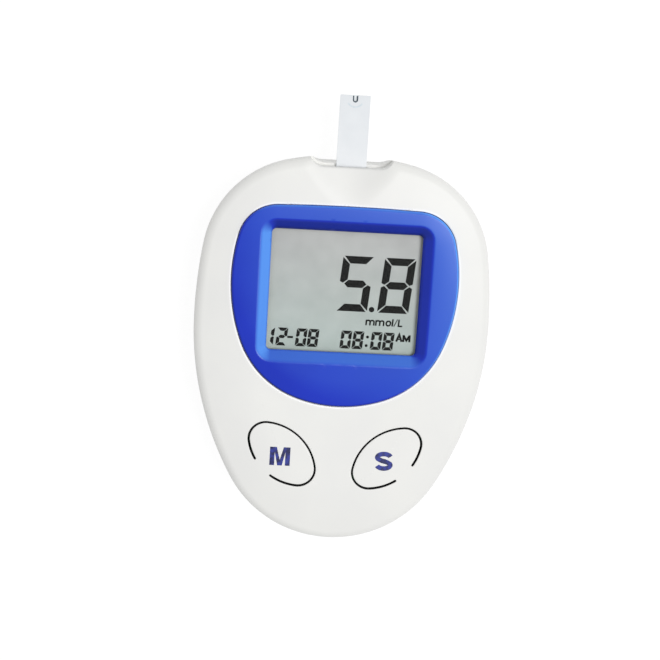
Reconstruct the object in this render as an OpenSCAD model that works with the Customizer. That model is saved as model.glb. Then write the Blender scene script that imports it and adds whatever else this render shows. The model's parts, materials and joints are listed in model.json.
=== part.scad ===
// Blood glucose meter lying on its back, in millimetres.
// +X is right for the reader, +Y runs toward the test strip, +Z comes out of the display.
// The origin is on the resting face, midway between the two ends of the housing.
// Every curved outline is a closed chain of arcs that meet without a corner.

/* [Housing outline] */
// Half of the housing's greatest width
body_half_w = 33.4; // [31:0.1:36]
// Length of the housing from its widest line to the strip end
body_above = 38.3; // [37:0.1:41]
// Length of the housing from its widest line to the tip
body_below = 50.5; // [48:0.1:55]
// Arc radius of the sides above the widest line
upper_side_radius = 110; // [100:1:120]
// Angle at which the sides hand over to the shoulders
shoulder_from = 9.1; // [8.2:0.1:10]
// Angle at which the shoulders hand over to the strip end
shoulder_to = 76.7; // [74:0.1:79]
// Arc radius of the sides below the widest line
lower_side_radius = 72; // [66:0.5:78]
// Angle at which the sides hand over to the flanks
flank_from = 14.6; // [13:0.1:16]
// Angle at which the flanks hand over to the tip
flank_to = 29.7; // [27:0.1:33]

/* [Housing section] */
// Height of the parting line above the resting face
split_z = 9; // [8.8:0.1:9.2]
// Height of the front face above the resting face
crown_z = 18.4; // [18.2:0.1:19.2]
// Radius that rounds the front edge
edge_round = 2.4; // [2:0.1:2.6]
// How far in from the edge the front face is crowned
crown_reach = 14; // [12:0.5:15]
// Radius of the crowned part of the front face
crown_radius = 70; // [60:1:90]
// How far the resting face lies in from the widest outline
back_inset = 9.5; // [8.5:0.1:10.5]
// Wall thickness at the sides of the housing
wall = 1.9; // [1.8:0.1:2.2]
// Wall thickness of the resting face
back_wall = 1.8; // [1.7:0.1:2]
// Wall thickness of the front face
face_wall = 2.2; // [2:0.1:2.3]
// Width of the lip that the front half laps over
lip_w = 1.1; // [0.8:0.1:1.4]
// Height of the lip above the parting line
lip_h = 0.8; // [0.6:0.1:1]

/* [Display bezel] */
// Half of the bezel's greatest width
bezel_half_w = 25.4; // [24.5:0.1:25.8]
// Distance of the bezel's widest line above the window's middle
bezel_shift = 2.4; // [2.1:0.1:2.7]
// Bezel length above its widest line
bezel_above = 17.1; // [16.8:0.1:17.4]
// Bezel length below its widest line
bezel_below = 28.5; // [28:0.1:29]
// Arc radius of the bezel's sides above the widest line
bezel_upper_side_radius = 41; // [38:0.5:44]
// Angle at which the bezel's sides hand over to its top corners
bezel_corner_from = 14.15; // [13:0.05:15]
// Angle at which the bezel's top corners hand over to its top
bezel_corner_to = 87.9; // [86:0.1:88.4]
// Arc radius of the bezel's sides below the widest line
bezel_lower_side_radius = 39.6; // [37:0.2:42]
// Angle at which the bezel's sides hand over to its flanks
bezel_flank_from = 21.3; // [19.5:0.1:23]
// Angle at which the bezel's flanks hand over to its bottom
bezel_flank_to = 70.15; // [67:0.05:73]
// How far the bezel stands above the front face
bezel_proud = 0.6; // [0.4:0.05:0.8]
// How deep the bezel sits in the front face
bezel_seat = 1; // [0.8:0.1:1.1]
// Radius that rounds the bezel's outer edge
bezel_round = 0.5; // [0.3:0.05:0.6]
// Depth of the bezel's skirt inside the window
skirt_h = 0.5; // [0.4:0.1:0.6]
// Width of the sloped frame round the window
bevel_w = 2.4; // [2:0.1:2.8]

/* [Display] */
// Width of the window
window_w = 33.8; // [32:0.1:34.2]
// Height of the window
window_l = 27.6; // [26:0.1:28]
// Distance of the window's middle from the strip end of the housing
window_inset = 30.55; // [30.3:0.05:30.8]
// Radius of the window's corners
window_round = 1; // [0.6:0.1:1.4]
// Bonding edge of the lens all round the window
lens_edge = 1.3; // [1:0.1:1.5]
// Thickness of the lens
lens_t = 0.8; // [0.6:0.1:0.8]
// Air gap between the lens and the display
lens_gap = 0.4; // [0.3:0.1:0.6]
// Thickness of a polarising or reflecting film
film_t = 0.2; // [0.15:0.05:0.3]
// Thickness of each display glass
glass_t = 0.7; // [0.55:0.05:0.8]
// Margin of the display glass beyond the window's sides
glass_side = 2.1; // [1.6:0.1:2.3]
// Margin of the display glass beyond the window's top
glass_margin = 1.5; // [1:0.1:1.6]
// Contact ledge that the front glass has beyond the rear glass
ledge_w = 2.8; // [2.6:0.1:3]
// Height of the display carrier below the films
carrier_h = 2.4; // [2.2:0.1:2.6]
// Wall thickness of the display carrier
carrier_wall = 1.1; // [0.9:0.1:1.2]

/* [Buttons] */
// Distance of each button's middle from the centre line
button_x = 12; // [11.8:0.1:12.4]
// Distance of the buttons' middles from the tip of the housing
button_inset = 20.4; // [20.1:0.05:20.7]
// Tilt of each button's long axis
button_tilt = 42; // [38:1:46]
// Half length of the button's oval
button_a = 9.05; // [8.6:0.05:9.3]
// Half width of the button's oval
button_b = 5.65; // [5.3:0.05:5.8]
// Arc radius at the ends of the button's oval
button_end_radius = 3.9; // [3.5:0.1:4.2]
// Width of the slot that frees the button
slot_w = 0.5; // [0.4:0.05:0.6]
// Width of the living hinge
hinge_w = 4.6; // [4:0.1:5]
// Sideways place of the hinge along the oval's long axis
hinge_shift = 0.8; // [0.4:0.1:1]
// Distance of the hinge line from the button's middle
hinge_reach = 5.55; // [5.45:0.05:5.65]
// Distance of the presser from the button's middle, away from the hinge
presser_shift = 1.5; // [1:0.1:2]
// Radius of the presser under the button
presser_r = 1.6; // [1.2:0.1:1.8]
// Width and length of the key switch
switch_w = 6; // [5.8:0.1:6.2]
// Height of the key switch without its plunger
switch_h = 3.4; // [3.2:0.1:3.5]
// Radius of the key switch's plunger
plunger_r = 1.7; // [1.5:0.05:1.8]

/* [Strip port] */
// Width of the test strip
strip_w = 6.7; // [6:0.1:6.9]
// How far the strip stands out of the housing
strip_out = 13.25; // [11:0.05:15]
// How far the strip reaches into the housing
strip_in = 11.45; // [10.8:0.05:11.45]
// Distance of the port's mouth from the strip end of the housing
port_inset = 5.65; // [5.3:0.05:5.9]
// Height of the strip's underside above the board
strip_lift = 1.7; // [1.6:0.1:1.8]
// Thickness of the strip's base film
strip_base_t = 0.35; // [0.3:0.05:0.4]
// Thickness of the strip's printed tracks
track_t = 0.05; // [0.03:0.01:0.06]
// Thickness of the strip's spacer and of its cover
strip_film_t = 0.1; // [0.08:0.01:0.12]
// Length of the strip that the spacer and cover lie on
strip_cover_l = 17; // [16.5:0.1:17.5]
// Number of tracks on the strip and of contacts in the port
track_count = 3; // [2:1:4]
// Distance from one track to the next
track_pitch = 1.6; // [1.4:0.05:1.7]
// Fall of the finger scoop's floor toward the strip end
scoop_fall = 17.9; // [17:0.1:19]
// Half angle of the finger scoop's cone
scoop_spread = 58; // [55:1:60]
// Distance of the scoop's point from the strip end of the housing
scoop_inset = 19.8; // [19.5:0.05:20.2]
// Height of the scoop's point above the front face
scoop_rise = 3; // [2.9:0.05:3.2]
// Half width of the notch in the end wall where the scoop runs out
notch_half_w = 9.6; // [9:0.1:10]
// Radius of the notch's corners
notch_round = 3.6; // [3:0.1:4]
// Distance of the notch's edge above the strip from the strip end
rim_inset = 2.65; // [2.4:0.05:2.8]
// Distance of the lip below the strip from the strip end
lip_inset = 2.05; // [1.8:0.05:2.2]

/* [Board] */
// Thickness of the circuit board
board_t = 1.6; // [1.4:0.1:1.6]
// Distance of the board's edge from the widest outline
board_inset = 6.2; // [6:0.1:6.6]
// Distance of the board's lower edge from the tip of the housing
board_low_inset = 11.55; // [10.5:0.05:13.5]
// Height of the chips under the board
chip_h = 1.4; // [1:0.1:1.6]
// Half width of the microcontroller
controller_half_w = 5; // [4:0.5:6]
// Half width of the analog chip
analog_half_w = 2.2; // [2:0.1:2.5]
// Half length of the analog chip
analog_half_l = 2.5; // [2.2:0.1:2.8]
// Radius of the clock crystal's can
crystal_r = 1; // [0.8:0.1:1.2]
// Length of the clock crystal's can
crystal_l = 6; // [5:0.5:7]
// Length of each small part on the board
passive_l = 1.6; // [1.2:0.1:2]
// Distance between the small parts along the board
passive_pitch = 2.6; // [2.2:0.1:3]
// Radius of the buzzer
buzzer_r = 6; // [5:0.5:6.5]
// Height of the buzzer
buzzer_h = 2.6; // [2.2:0.1:3]

/* [Battery] */
// Radius of the coin cell
cell_r = 10; // [9.8:0.1:10]
// Thickness of the coin cell
cell_t = 3.2; // [2.8:0.1:3.2]
// Distance of the coin cell's middle from the tip of the housing
cell_inset = 28.55; // [28:0.05:29.5]
// Half width of the battery door
door_half_w = 13; // [12.6:0.1:13.4]
// Reach of the battery door past the coin cell's middle
door_reach = 14; // [13.6:0.1:14.4]
// Depth that the door's side runners stick out
runner_w = 1.2; // [0.9:0.1:1.3]
// Number of thumb ridges on the battery door
ridge_count = 5; // [3:1:6]

/* [Fasteners] */
// Radius of the housing screws' and board screws' shanks
screw_r = 1; // [0.9:0.05:1.1]
// Length of the housing screws' shanks
housing_screw_l = 8; // [7:0.5:9]
// Length of the board screws' shanks
board_screw_l = 5; // [4.5:0.5:5.5]
// Radius of the screw heads
head_r = 1.9; // [1.7:0.1:2]
// Height of the screw heads
head_h = 1.3; // [1.1:0.1:1.4]

/* [Hidden] */
$fn = 96;

// Clearance round a part that is dropped in, and between faces that only touch
fit_gap = 0.1;
seat_gap = 0.05;
// Far enough to run out through any wall
past = 60;
// Angle between neighbouring points of a lofted outline
facet_angle = 7.5;

// The widest line lies where both ends are equally far from the origin
wide_y = (body_below - body_above) / 2;
end_y = (body_below + body_above) / 2;
tip_y = -end_y;
// The display hangs from the strip end, the buttons and the cell from the tip
window_y = end_y - window_inset;
bezel_wide_y = window_y + bezel_shift;
glass_w = window_w + 2 * glass_side;
button_y = tip_y + button_inset;
cell_y = tip_y + cell_inset;
door_end_y = cell_y + door_reach;
board_low_y = tip_y + board_low_inset;
// Height at which the outline is widest: the corner arc is tangent to the crowned face there
crown_centre_z = crown_z - crown_radius;
equator_z = crown_centre_z + sqrt(pow(crown_radius - edge_round, 2) - pow(crown_reach - edge_round, 2));
// Angle at which the corner arc hands over to the crowned face
corner_angle = acos((crown_reach - edge_round) / (crown_radius - edge_round));

// Heights that stack down from the front face to the board
bezel_top_z = crown_z + bezel_proud;
bezel_floor_z = crown_z - bezel_seat;
lens_top_z = bezel_floor_z - skirt_h;
lens_low_z = lens_top_z - lens_t;
polariser_top_z = lens_low_z - lens_gap;
front_glass_top_z = polariser_top_z - film_t;
rear_glass_top_z = front_glass_top_z - glass_t;
reflector_top_z = rear_glass_top_z - glass_t;
reflector_low_z = reflector_top_z - film_t;
board_top_z = reflector_low_z - carrier_h;
board_low_z = board_top_z - board_t;

// Depths of the front half's two-step hollow
hollow_inset = wall + 0.8;
hollow_step_inset = 6;
hollow_low_z = crown_z - face_wall - 1;
hollow_top_z = crown_z - face_wall;

// Display glass and its carrier
glass_top_y = window_y + window_l / 2 + glass_margin;
rear_glass_low_y = window_y - window_l / 2 - 0.4;
front_glass_low_y = rear_glass_low_y - ledge_w;
carrier_floor_t = 0.8;
carrier_half_w = glass_w / 2 + fit_gap + carrier_wall;
carrier_low_y = front_glass_low_y - fit_gap - carrier_wall;
film_edge = 0.7;

// Screw posts and the space that parts them from what they pass
post_r = screw_r + 1.4;
rear_post_r = head_r + 1.3;
post_gap = 0.4;
tray_half_w = door_half_w + runner_w + 2;
// Housing screws: two beside the port within the resting face, two beside the door's tray
upper_screw_x = body_half_w - back_inset - rear_post_r - 6.7;
upper_screw_y = end_y - back_inset - 1.7;
lower_screw_x = tray_half_w + rear_post_r + post_gap + 0.2;
lower_screw_y = carrier_low_y - post_r - 1.1;
housing_screw_places = [
    [upper_screw_x, upper_screw_y], [-upper_screw_x, upper_screw_y],
    [lower_screw_x, lower_screw_y], [-lower_screw_x, lower_screw_y]
];
// Board screws: two beside the display's carrier, two below it and clear of the cell's side contact
side_screw_x = carrier_half_w + post_r + post_gap;
side_screw_y = window_y + 10.3;
side_contact_x = cell_r + seat_gap;
contact_strip_t = 0.25;
low_screw_x = side_contact_x + contact_strip_t + head_r + post_gap;
low_screw_y = carrier_low_y - post_r - 2.1;
board_screw_places = [
    [side_screw_x, side_screw_y], [-side_screw_x, side_screw_y],
    [low_screw_x, low_screw_y], [-low_screw_x, low_screw_y]
];
head_seat_z = 4.2;
screw_bore_r = screw_r + 0.02;

// Strip and its port
strip_low_z = board_top_z + strip_lift;
track_low_z = strip_low_z + strip_base_t;
spacer_low_z = track_low_z + track_t;
cover_low_z = spacer_low_z + strip_film_t;
strip_top_z = cover_low_z + strip_film_t;
strip_tip_y = end_y + strip_out;
strip_inner_y = end_y - strip_in;
port_end_y = end_y - port_inset;
scoop_start_y = end_y - scoop_inset;
port_guide_y = port_end_y + 0.3;
port_back_y = glass_top_y + carrier_wall + fit_gap + 0.4;
port_half_w = strip_w / 2 + 2.8;
port_top_z = hollow_low_z - 0.2;
slot_half_w = strip_w / 2 + 0.2;
slot_low_z = strip_low_z - seat_gap;
slot_high_z = strip_top_z + 0.3;
contact_w = 0.6;
contact_t = 0.2;
contact_leg_y = strip_inner_y - 0.2 - contact_t;
sample_half_w = 0.55;
sample_l = 3.5;
notch_l = 1;
track_margin = 2;

// Buttons and switches
presser_low_z = board_top_z + switch_h + 0.9;
plunger_top_z = presser_low_z - fit_gap;
plunger_well = 1.1;
plunger_low_z = board_top_z + switch_h - plunger_well + 0.4;
plunger_fit = 0.06;
hinge_gap = 0.06;
neck_from = -hinge_reach + hinge_gap;
neck_to = -button_b + 1.4;

// Battery bay
door_t = back_wall;
door_low_z = 0.15;
cell_low_z = door_t + seat_gap;
bay_r = cell_r + 0.25;
bay_roof_z = cell_low_z + cell_t + 0.85;
bay_top_z = bay_roof_z + 1;
bay_wall = 1.75;
tray_top_z = back_wall + 1.4;
runner_low_z = 0.9;
leaf_z = bay_roof_z - contact_strip_t - fit_gap;
leg_y = cell_y - bay_r + 1.2;
side_contact_half_w = 1.5;
leaf_half_w = 2;
leaf_past = 3;
button_pad_r = 1.5;
leg_half_w = 1;

// Chips and buzzer on the back of the board
chip_gap = 0.1;
controller_y = window_y - 1.7;
analog_x = 7;
analog_y = port_back_y - 3.6;
crystal_x = -9;
crystal_y = window_y - 4.7;
passive_x = 10;
passive_y = window_y - 7.7;
passive_row = 3.4;
passive_w = 0.8;
passive_h = 0.6;
buzzer_x = head_r + buzzer_r + 1.1 - side_screw_x;
buzzer_y = upper_screw_y - post_r - buzzer_r - 1.4;
sound_hole_r = 1;

// Blank label on the resting face
label_half_w = 15;
label_low_y = window_y - 5.7;
label_l = 18;
label_high_y = label_low_y + label_l;
label_t = 0.1;
label_depth = 0.15;

// ---- Outlines made of arcs -------------------------------------------------------------

function unit(angle) = [cos(angle), sin(angle)];
function flip_x(p) = [-p[0], p[1]];
function flip_y(p) = [p[0], -p[1]];

// Angle of the point where two arcs touch, the smaller inside the larger
function touch_angle(a, ra, b, rb) =
    let (v = ra > rb ? b - a : a - b)
    atan2(v[1], v[0]);

// Radii of the middle and end arcs that close half an egg, from where its arcs hand over
function closing_radii(w, h, side_r, low, high) =
    let (left_w = w - side_r * (1 - cos(low)), left_h = h - side_r * sin(low))
    let (mid_w = cos(low) - cos(high), mid_h = sin(high) - sin(low))
    let (end_w = cos(high), end_h = 1 - sin(high))
    [left_w * end_h - left_h * end_w, mid_w * left_h - mid_h * left_w] / (mid_w * end_h - mid_h * end_w);

// Upper half of an egg, counter-clockwise from the right: [centre, radius, start, sweep]
function half_egg(w, h, side_r, low, high) =
    let (radii = closing_radii(w, h, side_r, low, high), mid_r = radii[0], end_r = radii[1])
    let (end_c = [0, h - end_r], side_c = [w - side_r, 0])
    let (mid_c = side_c + (side_r - mid_r) * unit(low))
    [
        [side_c, side_r, 0, low],
        [mid_c, mid_r, low, high - low],
        [end_c, end_r, high, 180 - 2 * high],
        [flip_x(mid_c), mid_r, 180 - high, high - low],
        [flip_x(side_c), side_r, 180 - low, low]
    ];

// The same half turned over, still counter-clockwise
function turned_over(arcs) = [
    for (i = [len(arcs) - 1 : -1 : 0])
        let (a = arcs[i]) [flip_y(a[0]), a[1], -(a[2] + a[3]), a[3]]
];

function moved(arcs, y) = [for (a = arcs) [a[0] + [0, y], a[1], a[2], a[3]]];

body_arcs = moved(concat(
    half_egg(body_half_w, body_above, upper_side_radius, shoulder_from, shoulder_to),
    turned_over(half_egg(body_half_w, body_below, lower_side_radius, flank_from, flank_to))
), wide_y);

bezel_arcs = moved(concat(
    half_egg(bezel_half_w, bezel_above, bezel_upper_side_radius, bezel_corner_from, bezel_corner_to),
    turned_over(half_egg(bezel_half_w, bezel_below, bezel_lower_side_radius, bezel_flank_from,
        bezel_flank_to))
), bezel_wide_y);

// An oval of four arcs: small ends of a given radius and long sides that touch them
function oval(a, b, r) =
    let (side_r = (pow(a - r, 2) + b * b - r * r) / (2 * (b - r)))
    let (end_c = [a - r, 0], side_c = [0, b - side_r])
    let (t = touch_angle(side_c, side_r, end_c, r))
    [
        [end_c, r, -t, 2 * t],
        [side_c, side_r, t, 180 - 2 * t],
        [flip_x(end_c), r, 180 - t, 2 * t],
        [flip_y(side_c), side_r, 180 + t, 180 - 2 * t]
    ];

function arc_point(arc, angle, inset) = arc[0] + (arc[1] - inset) * unit(angle);

module plate(arcs, inset, z0, z1) {
    translate([0, 0, z0])
        linear_extrude(z1 - z0)
            region(arcs, inset);
}

// Points along a chain of arcs, drawn in by inset, about one every facet_angle
function chain_points(arcs, inset) = [
    for (a = arcs)
        let (steps = max(ceil(a[3] / facet_angle), 1))
        for (i = [0 : steps - 1])
            arc_point(a, a[2] + a[3] * i / steps, inset)
];

// Flat region inside a chain of arcs, drawn in by inset
module region(arcs, inset = 0) {
    polygon(chain_points(arcs, inset));
}

// Solid whose outline is the chain drawn in by each profile point's inset at its height
module lofted(arcs, profile) {
    rings = [for (p = profile) [for (q = chain_points(arcs, p[0])) [q[0], q[1], p[1]]]];
    n = len(rings[0]);
    polyhedron(
        points = [for (r = rings) for (q = r) q],
        faces = concat(
            [[for (i = [0 : n - 1]) i]],
            [[for (i = [n - 1 : -1 : 0]) (len(rings) - 1) * n + i]],
            [
                for (k = [0 : len(rings) - 2], i = [0 : n - 1])
                    let (low = k * n + i, low_next = k * n + (i + 1) % n)
                    each [[low, low + n, low_next + n], [low, low_next + n, low_next]]
            ]
        )
    );
}

module box(x0, x1, y0, y1, z0, z1) {
    translate([x0, y0, z0])
        cube([x1 - x0, y1 - y0, z1 - z0]);
}

module rod(x, y, r, z0, z1) {
    translate([x, y, z0])
        cylinder(r = r, h = z1 - z0);
}

// Upright block with rounded corners, centred on the window
module window_block(w, l, r, z0, z1) {
    for (x = [-1, 1], y = [-1, 1])
        rod(x * (w / 2 - r), window_y + y * (l / 2 - r), r, z0, z1);
    box(-w / 2, w / 2, window_y - l / 2 + r, window_y + l / 2 - r, z0, z1);
    box(-w / 2 + r, w / 2 - r, window_y - l / 2, window_y + l / 2, z0, z1);
}

// ---- Housing section -------------------------------------------------------------------

// How far the side lies in from the widest outline at height z, along a quarter ellipse
function side_inset(z) = back_inset * (1 - sqrt(max(1 - pow((equator_z - z) / equator_z, 2), 0)));

// Side points from height z0 up to height z1
function side_points(z0, z1, steps) = [
    for (i = [0 : steps])
        let (z = z0 + (z1 - z0) * i / steps) [side_inset(z), z]
];

// Edge points from the widest height over the rounded corner and the crown
corner_steps = 4;
crown_steps = 3;
corner_points = [
    for (i = [1 : corner_steps])
        let (t = corner_angle * i / corner_steps)
        [edge_round * (1 - cos(t)), equator_z + edge_round * sin(t)]
];
crown_points = [
    for (i = [1 : crown_steps])
        let (t = corner_angle + (90 - corner_angle) * i / crown_steps)
        [crown_reach - crown_radius * cos(t), crown_centre_z + crown_radius * sin(t)]
];

// Solid front half, before it is hollowed
module front_block() {
    lofted(body_arcs, concat(side_points(split_z, equator_z, 2), corner_points, crown_points));
}

// Heights of the points along the rear side, closer together toward the resting face
rear_heights = [for (t = [0, 14, 26, 40, 54, 66]) equator_z * (1 - cos(t))];

// Solid rear half, before it is hollowed
module rear_block() {
    lower = [for (z = rear_heights) if (z < split_z - 0.5) [side_inset(z), z]];
    lofted(body_arcs, concat(lower, [[side_inset(split_z), split_z]]));
}

// ---- Buttons ---------------------------------------------------------------------------

// Places things in one button's own directions: X along its long axis, +Y away from its hinge
module at_button(side) {
    translate([side * button_x, button_y, 0])
        rotate(side * button_tilt)
            children();
}

module button_oval(grow, from_y, z0, z1) {
    intersection() {
        translate([0, 0, z0])
            linear_extrude(z1 - z0)
                region(oval(button_a, button_b, button_end_radius), -grow);
        box(-past, past, from_y, past, z0, z1);
    }
}

module button(side) {
    neck_x = side * hinge_shift;
    color("#ecebe8") {
        intersection() {
            front_block();
            at_button(side) {
                button_oval(-slot_w / 2, neck_from, hollow_top_z, crown_z + 1);
                box(neck_x - hinge_w / 2, neck_x + hinge_w / 2, neck_from, neck_to,
                    hollow_top_z, crown_z + 1);
            }
        }
        at_button(side)
            rod(0, presser_shift, presser_r, presser_low_z, hollow_top_z + 0.5);
    }
}

module switch_body(side) {
    color("#222326")
        at_button(side)
            difference() {
                translate([0, presser_shift, 0])
                    box(-switch_w / 2, switch_w / 2, -switch_w / 2, switch_w / 2,
                        board_top_z, board_top_z + switch_h);
                rod(0, presser_shift, plunger_r + plunger_fit,
                    board_top_z + switch_h - plunger_well, board_top_z + switch_h + 1);
            }
}

module switch_plunger(side) {
    color("#e8e6df")
        at_button(side)
            rod(0, presser_shift, plunger_r, plunger_low_z, plunger_top_z);
}

// ---- Front half ------------------------------------------------------------------------

// Cone that hollows the strip end so that a finger can guide the strip
module scoop() {
    cone_l = scoop_inset + 3;
    translate([0, scoop_start_y, crown_z + scoop_rise])
        rotate([-(90 - (scoop_spread - scoop_fall)), 0, 0])
            cylinder(h = cone_l, r1 = 0, r2 = cone_l * tan(scoop_spread));
}

// Space with rounded corners that draws the end wall in as far as low_y
module end_notch(low_y, z0, z1) {
    flat_half_w = notch_half_w - notch_round;
    for (side = [-1, 1])
        rod(side * flat_half_w, low_y + notch_round, notch_round, z0, z1);
    box(-flat_half_w, flat_half_w, low_y, past, z0, z1);
    box(-notch_half_w, notch_half_w, low_y + notch_round, past, z0, z1);
}

module front_housing() {
    color("#ecebe8") {
        difference() {
            front_block();
            difference() {
                union() {
                    plate(body_arcs, hollow_inset, split_z - 1, hollow_low_z);
                    plate(body_arcs, hollow_step_inset, split_z - 1, hollow_top_z);
                }
                // Guide block that leads the strip from the notch to the port
                box(-notch_half_w, notch_half_w, port_guide_y, past, split_z + lip_h + 0.3, crown_z);
            }
            plate(bezel_arcs, -fit_gap, bezel_floor_z, crown_z + 1);
            window_block(window_w + 2 * lens_edge + 1, window_l + 2 * lens_edge + 1, window_round,
                split_z, crown_z);
            for (side = [-1, 1])
                at_button(side)
                    button_oval(slot_w / 2, -hinge_reach, split_z, crown_z + 1);
            box(-slot_half_w, slot_half_w, port_guide_y - 1, past, slot_low_z, slot_high_z);
            scoop();
            end_notch(end_y - rim_inset, slot_low_z - 0.1, crown_z + 1);
            end_notch(end_y - lip_inset, split_z - 1, slot_low_z);
        }
        for (p = housing_screw_places)
            difference() {
                rod(p[0], p[1], post_r, split_z, hollow_top_z + 0.2);
                rod(p[0], p[1], screw_bore_r, split_z - 1, head_seat_z + housing_screw_l + 0.5);
            }
        for (p = board_screw_places)
            difference() {
                rod(p[0], p[1], post_r, board_top_z, hollow_top_z + 0.2);
                rod(p[0], p[1], screw_bore_r, board_top_z - 1, board_low_z + board_screw_l + 0.4);
            }
    }
}

module display_bezel() {
    rim = [
        for (i = [0 : 3])
            let (t = 90 * i / 3)
            [bezel_round * (1 - cos(t)), bezel_top_z - bezel_round + bezel_round * sin(t)]
    ];
    window_top = bezel_top_z + 0.1;
    bevel_low_z = lens_top_z + 0.1;
    color("#3652cd")
        difference() {
            union() {
                lofted(bezel_arcs, concat([[0, bezel_floor_z]], rim));
                window_block(window_w + 2 * lens_edge, window_l + 2 * lens_edge, window_round,
                    lens_top_z, bezel_floor_z + 0.2);
            }
            window_block(window_w, window_l, window_round, lens_top_z - 1, window_top);
            frustum(window_w, window_l, window_w + 2 * bevel_w, window_l + 2 * bevel_w,
                bevel_low_z, window_top);
        }
}

// Four-sided opening that widens upward round the window
module frustum(w0, l0, w1, l1, z0, z1) {
    corners = [[-1, -1], [1, -1], [1, 1], [-1, 1]];
    polyhedron(
        points = concat(
            [for (c = corners) [c[0] * w0 / 2, window_y + c[1] * l0 / 2, z0]],
            [for (c = corners) [c[0] * w1 / 2, window_y + c[1] * l1 / 2, z1]]
        ),
        faces = [
            [0, 1, 2, 3], [7, 6, 5, 4],
            [4, 5, 1, 0], [5, 6, 2, 1], [6, 7, 3, 2], [7, 4, 0, 3]
        ]
    );
}

module display_lens() {
    color("#dfe8ee", 0.4)
        window_block(window_w + 2 * lens_edge, window_l + 2 * lens_edge, window_round,
            lens_low_z, lens_top_z);
}

// ---- Display ---------------------------------------------------------------------------

module lcd_polariser() {
    color("#b9c1bf")
        box(-glass_w / 2 + film_edge, glass_w / 2 - film_edge, rear_glass_low_y + 0.1,
            glass_top_y - 0.4, front_glass_top_z, polariser_top_z);
}

module lcd_front_glass() {
    color("#cfe0dc", 0.5)
        box(-glass_w / 2, glass_w / 2, front_glass_low_y, glass_top_y,
            rear_glass_top_z, front_glass_top_z);
}

module lcd_rear_glass() {
    color("#c6d8d3", 0.5)
        box(-glass_w / 2, glass_w / 2, rear_glass_low_y, glass_top_y,
            reflector_top_z, rear_glass_top_z);
}

module lcd_reflector() {
    color("#aab2ac")
        box(-glass_w / 2 + film_edge, glass_w / 2 - film_edge, rear_glass_low_y + 0.4,
            glass_top_y - 0.4, reflector_low_z, reflector_top_z);
}

module lcd_carrier() {
    inner_x = glass_w / 2 + fit_gap;
    low_y = front_glass_low_y - fit_gap;
    high_y = glass_top_y + fit_gap;
    slot_high_y = rear_glass_low_y - 0.1;
    color("#e9ece9")
        difference() {
            box(-carrier_half_w, carrier_half_w, carrier_low_y, high_y + carrier_wall,
                board_top_z, front_glass_top_z);
            box(-inner_x, inner_x, low_y, high_y, reflector_low_z, front_glass_top_z + 1);
            box(-inner_x + 1, inner_x - 1, rear_glass_low_y + 2, high_y - 1,
                board_top_z - 1, reflector_low_z - carrier_floor_t);
            box(-inner_x + 1, inner_x - 1, low_y, slot_high_y, board_top_z - 1, front_glass_top_z + 1);
        }
}

module lcd_connector() {
    color("#d98aa0")
        box(-glass_w / 2 + 2, glass_w / 2 - 2, front_glass_low_y + 0.3, rear_glass_low_y - 0.5,
            board_top_z, rear_glass_top_z);
}

// ---- Board -----------------------------------------------------------------------------

module main_board() {
    color("#2d7a4a")
        difference() {
            intersection() {
                plate(body_arcs, board_inset, board_low_z, board_top_z);
                box(-past, past, board_low_y, past, board_low_z, board_top_z);
            }
            for (p = housing_screw_places)
                rod(p[0], p[1], post_r + 0.3, board_low_z - 1, board_top_z + 1);
            for (p = board_screw_places)
                rod(p[0], p[1], screw_r + fit_gap, board_low_z - 1, board_top_z + 1);
        }
}

// Chip with its legs, hung under the board
module chip(x, y, half_w, half_l, legs) {
    leg_pitch = 2 * half_l / (legs + 1);
    box(x - half_w, x + half_w, y - half_l, y + half_l, board_low_z - chip_h, board_low_z - chip_gap);
    for (side = [-1, 1], i = [1 : legs])
        translate([x + side * (half_w + 0.4), y - half_l + i * leg_pitch, 0])
            box(-0.5, 0.5, -leg_pitch / 4, leg_pitch / 4, board_low_z - 0.5, board_low_z);
}

module microcontroller() {
    color("#2b2c2e")
        chip(0, controller_y, controller_half_w, controller_half_w, 8);
}

module analog_chip() {
    color("#2b2c2e")
        chip(analog_x, analog_y, analog_half_w, analog_half_l, 4);
}

module clock_crystal() {
    color("#c9ccd0")
        translate([crystal_x, crystal_y, board_low_z - crystal_r])
            rotate([-90, 0, 0])
                cylinder(r = crystal_r, h = crystal_l);
}

module board_passives() {
    color("#b79a72")
        for (row = [0 : 1], i = [0 : 4])
            translate([passive_x + row * passive_row, passive_y + i * passive_pitch, 0])
                box(-passive_l / 2, passive_l / 2, -passive_w / 2, passive_w / 2,
                    board_low_z - passive_h, board_low_z);
}

module buzzer() {
    color("#1f2022")
        difference() {
            rod(buzzer_x, buzzer_y, buzzer_r, board_low_z - buzzer_h, board_low_z);
            rod(buzzer_x, buzzer_y, sound_hole_r, board_low_z - buzzer_h - 1, board_low_z - buzzer_h + 1);
        }
}

// ---- Strip port and strip --------------------------------------------------------------

function track_x(i) = (i - (track_count - 1) / 2) * track_pitch;

module strip_port_housing() {
    color("#f2f2ef")
        difference() {
            box(-port_half_w, port_half_w, port_back_y, port_end_y, board_top_z, port_top_z);
            box(-slot_half_w, slot_half_w, contact_leg_y + contact_t, port_end_y + 1,
                slot_low_z, slot_high_z);
            for (i = [0 : track_count - 1])
                box(track_x(i) - contact_w / 2 - fit_gap, track_x(i) + contact_w / 2 + fit_gap,
                    contact_leg_y - seat_gap, port_end_y - 1.4, board_top_z - 1, slot_high_z + 0.35);
        }
}

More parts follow.
